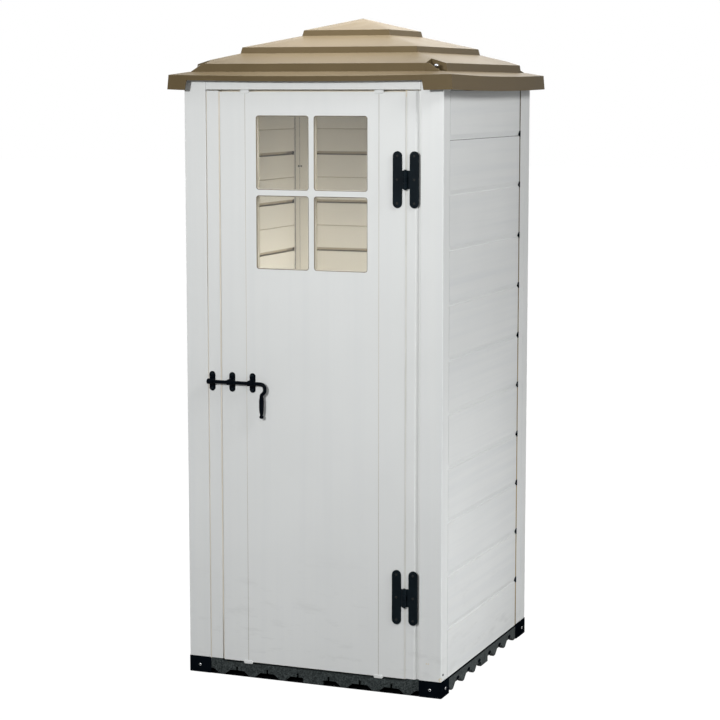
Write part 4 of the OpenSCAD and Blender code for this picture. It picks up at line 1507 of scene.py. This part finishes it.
# %% The screw tree
screw_tree, screw_in, screw_out = new_tree("Screws on points", {
    "Head": "Object", "Size": "Float", "Seed": "Int", "Material": "Material"})
facing = screw_tree.nodes.new("GeometryNodeInputNamedAttribute")
facing.data_type = "FLOAT_VECTOR"
facing.inputs["Name"].default_value = "facing"
towards = screw_tree.nodes.new("FunctionNodeAlignRotationToVector")
towards.axis = "Z"
screw_tree.links.new(facing.outputs["Attribute"], towards.inputs["Vector"])
spin = step(screw_tree, "FunctionNodeRandomValue", {"Seed": screw_in.outputs["Seed"]})
spin.data_type = "FLOAT"
spin_value = next(s for s in spin.outputs if s.type == "VALUE" and s.enabled)
next(s for s in spin.inputs if s.name == "Max" and s.type == "VALUE").default_value = math.tau
turn = screw_tree.nodes.new("FunctionNodeAxisAngleToRotation")
turn.inputs["Axis"].default_value = (0, 0, 1)
screw_tree.links.new(spin_value, turn.inputs["Angle"])
both = screw_tree.nodes.new("FunctionNodeRotateRotation")
both.rotation_space = "LOCAL"
screw_tree.links.new(towards.outputs["Rotation"], both.inputs["Rotation"])
screw_tree.links.new(turn.outputs["Rotation"], both.inputs["Rotate By"])
head = step(screw_tree, "GeometryNodeObjectInfo", {"Object": screw_in.outputs["Head"]})
size = step(screw_tree, "ShaderNodeCombineXYZ", {axis: screw_in.outputs["Size"]
                                                 for axis in "XYZ"})
heads = on_points(screw_tree, screw_in.outputs["Geometry"], head.outputs["Geometry"],
                  Rotation=both.outputs["Rotation"], Scale=size.outputs["Vector"])
end_tree(screw_tree, real(screw_tree, heads), screw_in, screw_out)


def screws(name, spots, radius, material, body, slot, seed=1):
    """Screw heads at spots, a list of (place, facing), as one piece on one body."""
    mesh = bpy.data.meshes.new(name)
    mesh.from_pydata([place for place, _ in spots], [], [])
    directions = mesh.attributes.new("facing", "FLOAT_VECTOR", "POINT")
    for item, (_, direction) in zip(directions.data, spots):
        item.vector = direction
    piece = run_tree(name, screw_tree, mesh, Head=screw_head, Size=radius, Seed=seed,
                     Material=material)
    hand_over(piece, None, body, slot)

# %% [markdown]
# The places of the screws come from the boxes of the pieces that they hold: three on each hinge
# plate, two on each bolt strap, one on each outer face of a foot with a small black dome on it
# that paints the shade in its socket, one low on the side of each front post, and two inside on
# each back post.
# %% Screws in their places
FRONT = (0, -1, 0)
PLATE_SCREW_RISE = 68 * MM
STRAP_SCREW_RISE = 22 * MM
PLATE_T = 4 * MM
STRAP_T = 3 * MM
HINGE_SCREW_R = 4 * MM
BOLT_SCREW_R = 4.6 * MM
FOOT_SCREW_IN = 36 * MM
FOOT_SCREW_Z = 24 * MM
SOCKET_SHADE_PROUD = 1.9 * MM
POST_SCREW_SUNK = 0.4 * MM
POST_SCREW_Y = -HALF_D + 16 * MM
POST_SCREW_Z = 69 * MM
INNER_SCREWS_IN = (14 * MM, 23 * MM)
INNER_SCREW_Z = 1526 * MM


def plate_spots(node):
    """Three screws up the middle of a hinge plate."""
    low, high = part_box(node)
    on_frame = "frame" in node
    x = high.x - HINGE_PLATE_W / 2 if on_frame else low.x + HINGE_PLATE_W / 2
    z = (low.z + high.z) / 2
    return [((x, FRONT_Y - PLATE_T, z + rise), FRONT)
            for rise in (-PLATE_SCREW_RISE, 0, PLATE_SCREW_RISE)]


def strap_spots(node):
    """A screw above and one below the rod on a strap's plate."""
    low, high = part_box(node)
    x, z = (low.x + high.x) / 2, (low.z + high.z) / 2
    return [((x, FRONT_Y - STRAP_T, z + rise), FRONT)
            for rise in (-STRAP_SCREW_RISE, STRAP_SCREW_RISE)]


screws("hinge_screws_frame", plate_spots("hinge_upper_frame_leaf")
       + plate_spots("hinge_lower_frame_leaf"), HINGE_SCREW_R, worn_coat, "frame",
       "hardware_black")
screws("hinge_screws_door", plate_spots("hinge_upper_door_leaf")
       + plate_spots("hinge_lower_door_leaf"), HINGE_SCREW_R, worn_coat, "door",
       "hardware_black")
screws("bolt_screws_door", strap_spots("bolt_bracket_left") + strap_spots("bolt_bracket_right"),
       BOLT_SCREW_R, black_coat, "door", "hardware_black", 3)
screws("bolt_screws_frame", strap_spots("bolt_keeper"), BOLT_SCREW_R, black_coat, "frame",
       "hardware_black", 4)

foot_spots, post_spots = [], []
for x_side in (-1, 1):
    for y_side in (-1, 1):
        name = "foot_" + ("front_" if y_side < 0 else "back_") + ("left" if x_side < 0 else "right")
        low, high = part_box(name)
        x_face = high.x if x_side > 0 else low.x
        y_face = high.y if y_side > 0 else low.y
        foot_spots.append(((x_face - x_side * FOOT_SCREW_IN, y_face, FOOT_SCREW_Z),
                           (0, y_side, 0)))
        foot_spots.append(((x_face, y_face - y_side * FOOT_SCREW_IN, FOOT_SCREW_Z),
                           (x_side, 0, 0)))
    post_spots.append(((x_side * (HALF_W - POST_SCREW_SUNK), POST_SCREW_Y, POST_SCREW_Z),
                       (x_side, 0, 0)))
screws("foot_screws", foot_spots, 4.5 * MM, zinc_plate, "frame", "foot_black", 5)
# Painted shade: a small black dome on each foot screw for the dark hollow of its socket.
socket_shade_spots = [(tuple(p + SOCKET_SHADE_PROUD * f for p, f in zip(place, face)), face)
                for place, face in foot_spots]
screws("foot_screw_sockets", socket_shade_spots, 2.3 * MM, black_plastic, "frame", "foot_black", 5)
screws("post_screws", post_spots, 3.8 * MM, black_plastic, "frame", "wall_white", 6)

back_post_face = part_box("post_back_left")[0].y
inner_wall = HALF_W - PLANK_T
inner_spots = [((side * (inner_wall - inwards), back_post_face, INNER_SCREW_Z), FRONT)
               for side in (-1, 1) for inwards in INNER_SCREWS_IN]
screws("inner_post_screws", inner_spots, 3 * MM, black_plastic, "frame", "wall_white", 7)

# %% [markdown]
# ## Clearing up
#
# The outlines and the screw head were only tools, so they go.
# %% Clear up and finish
for tool in (plank_section, skin_section, screw_head):
    bpy.data.objects.remove(tool)
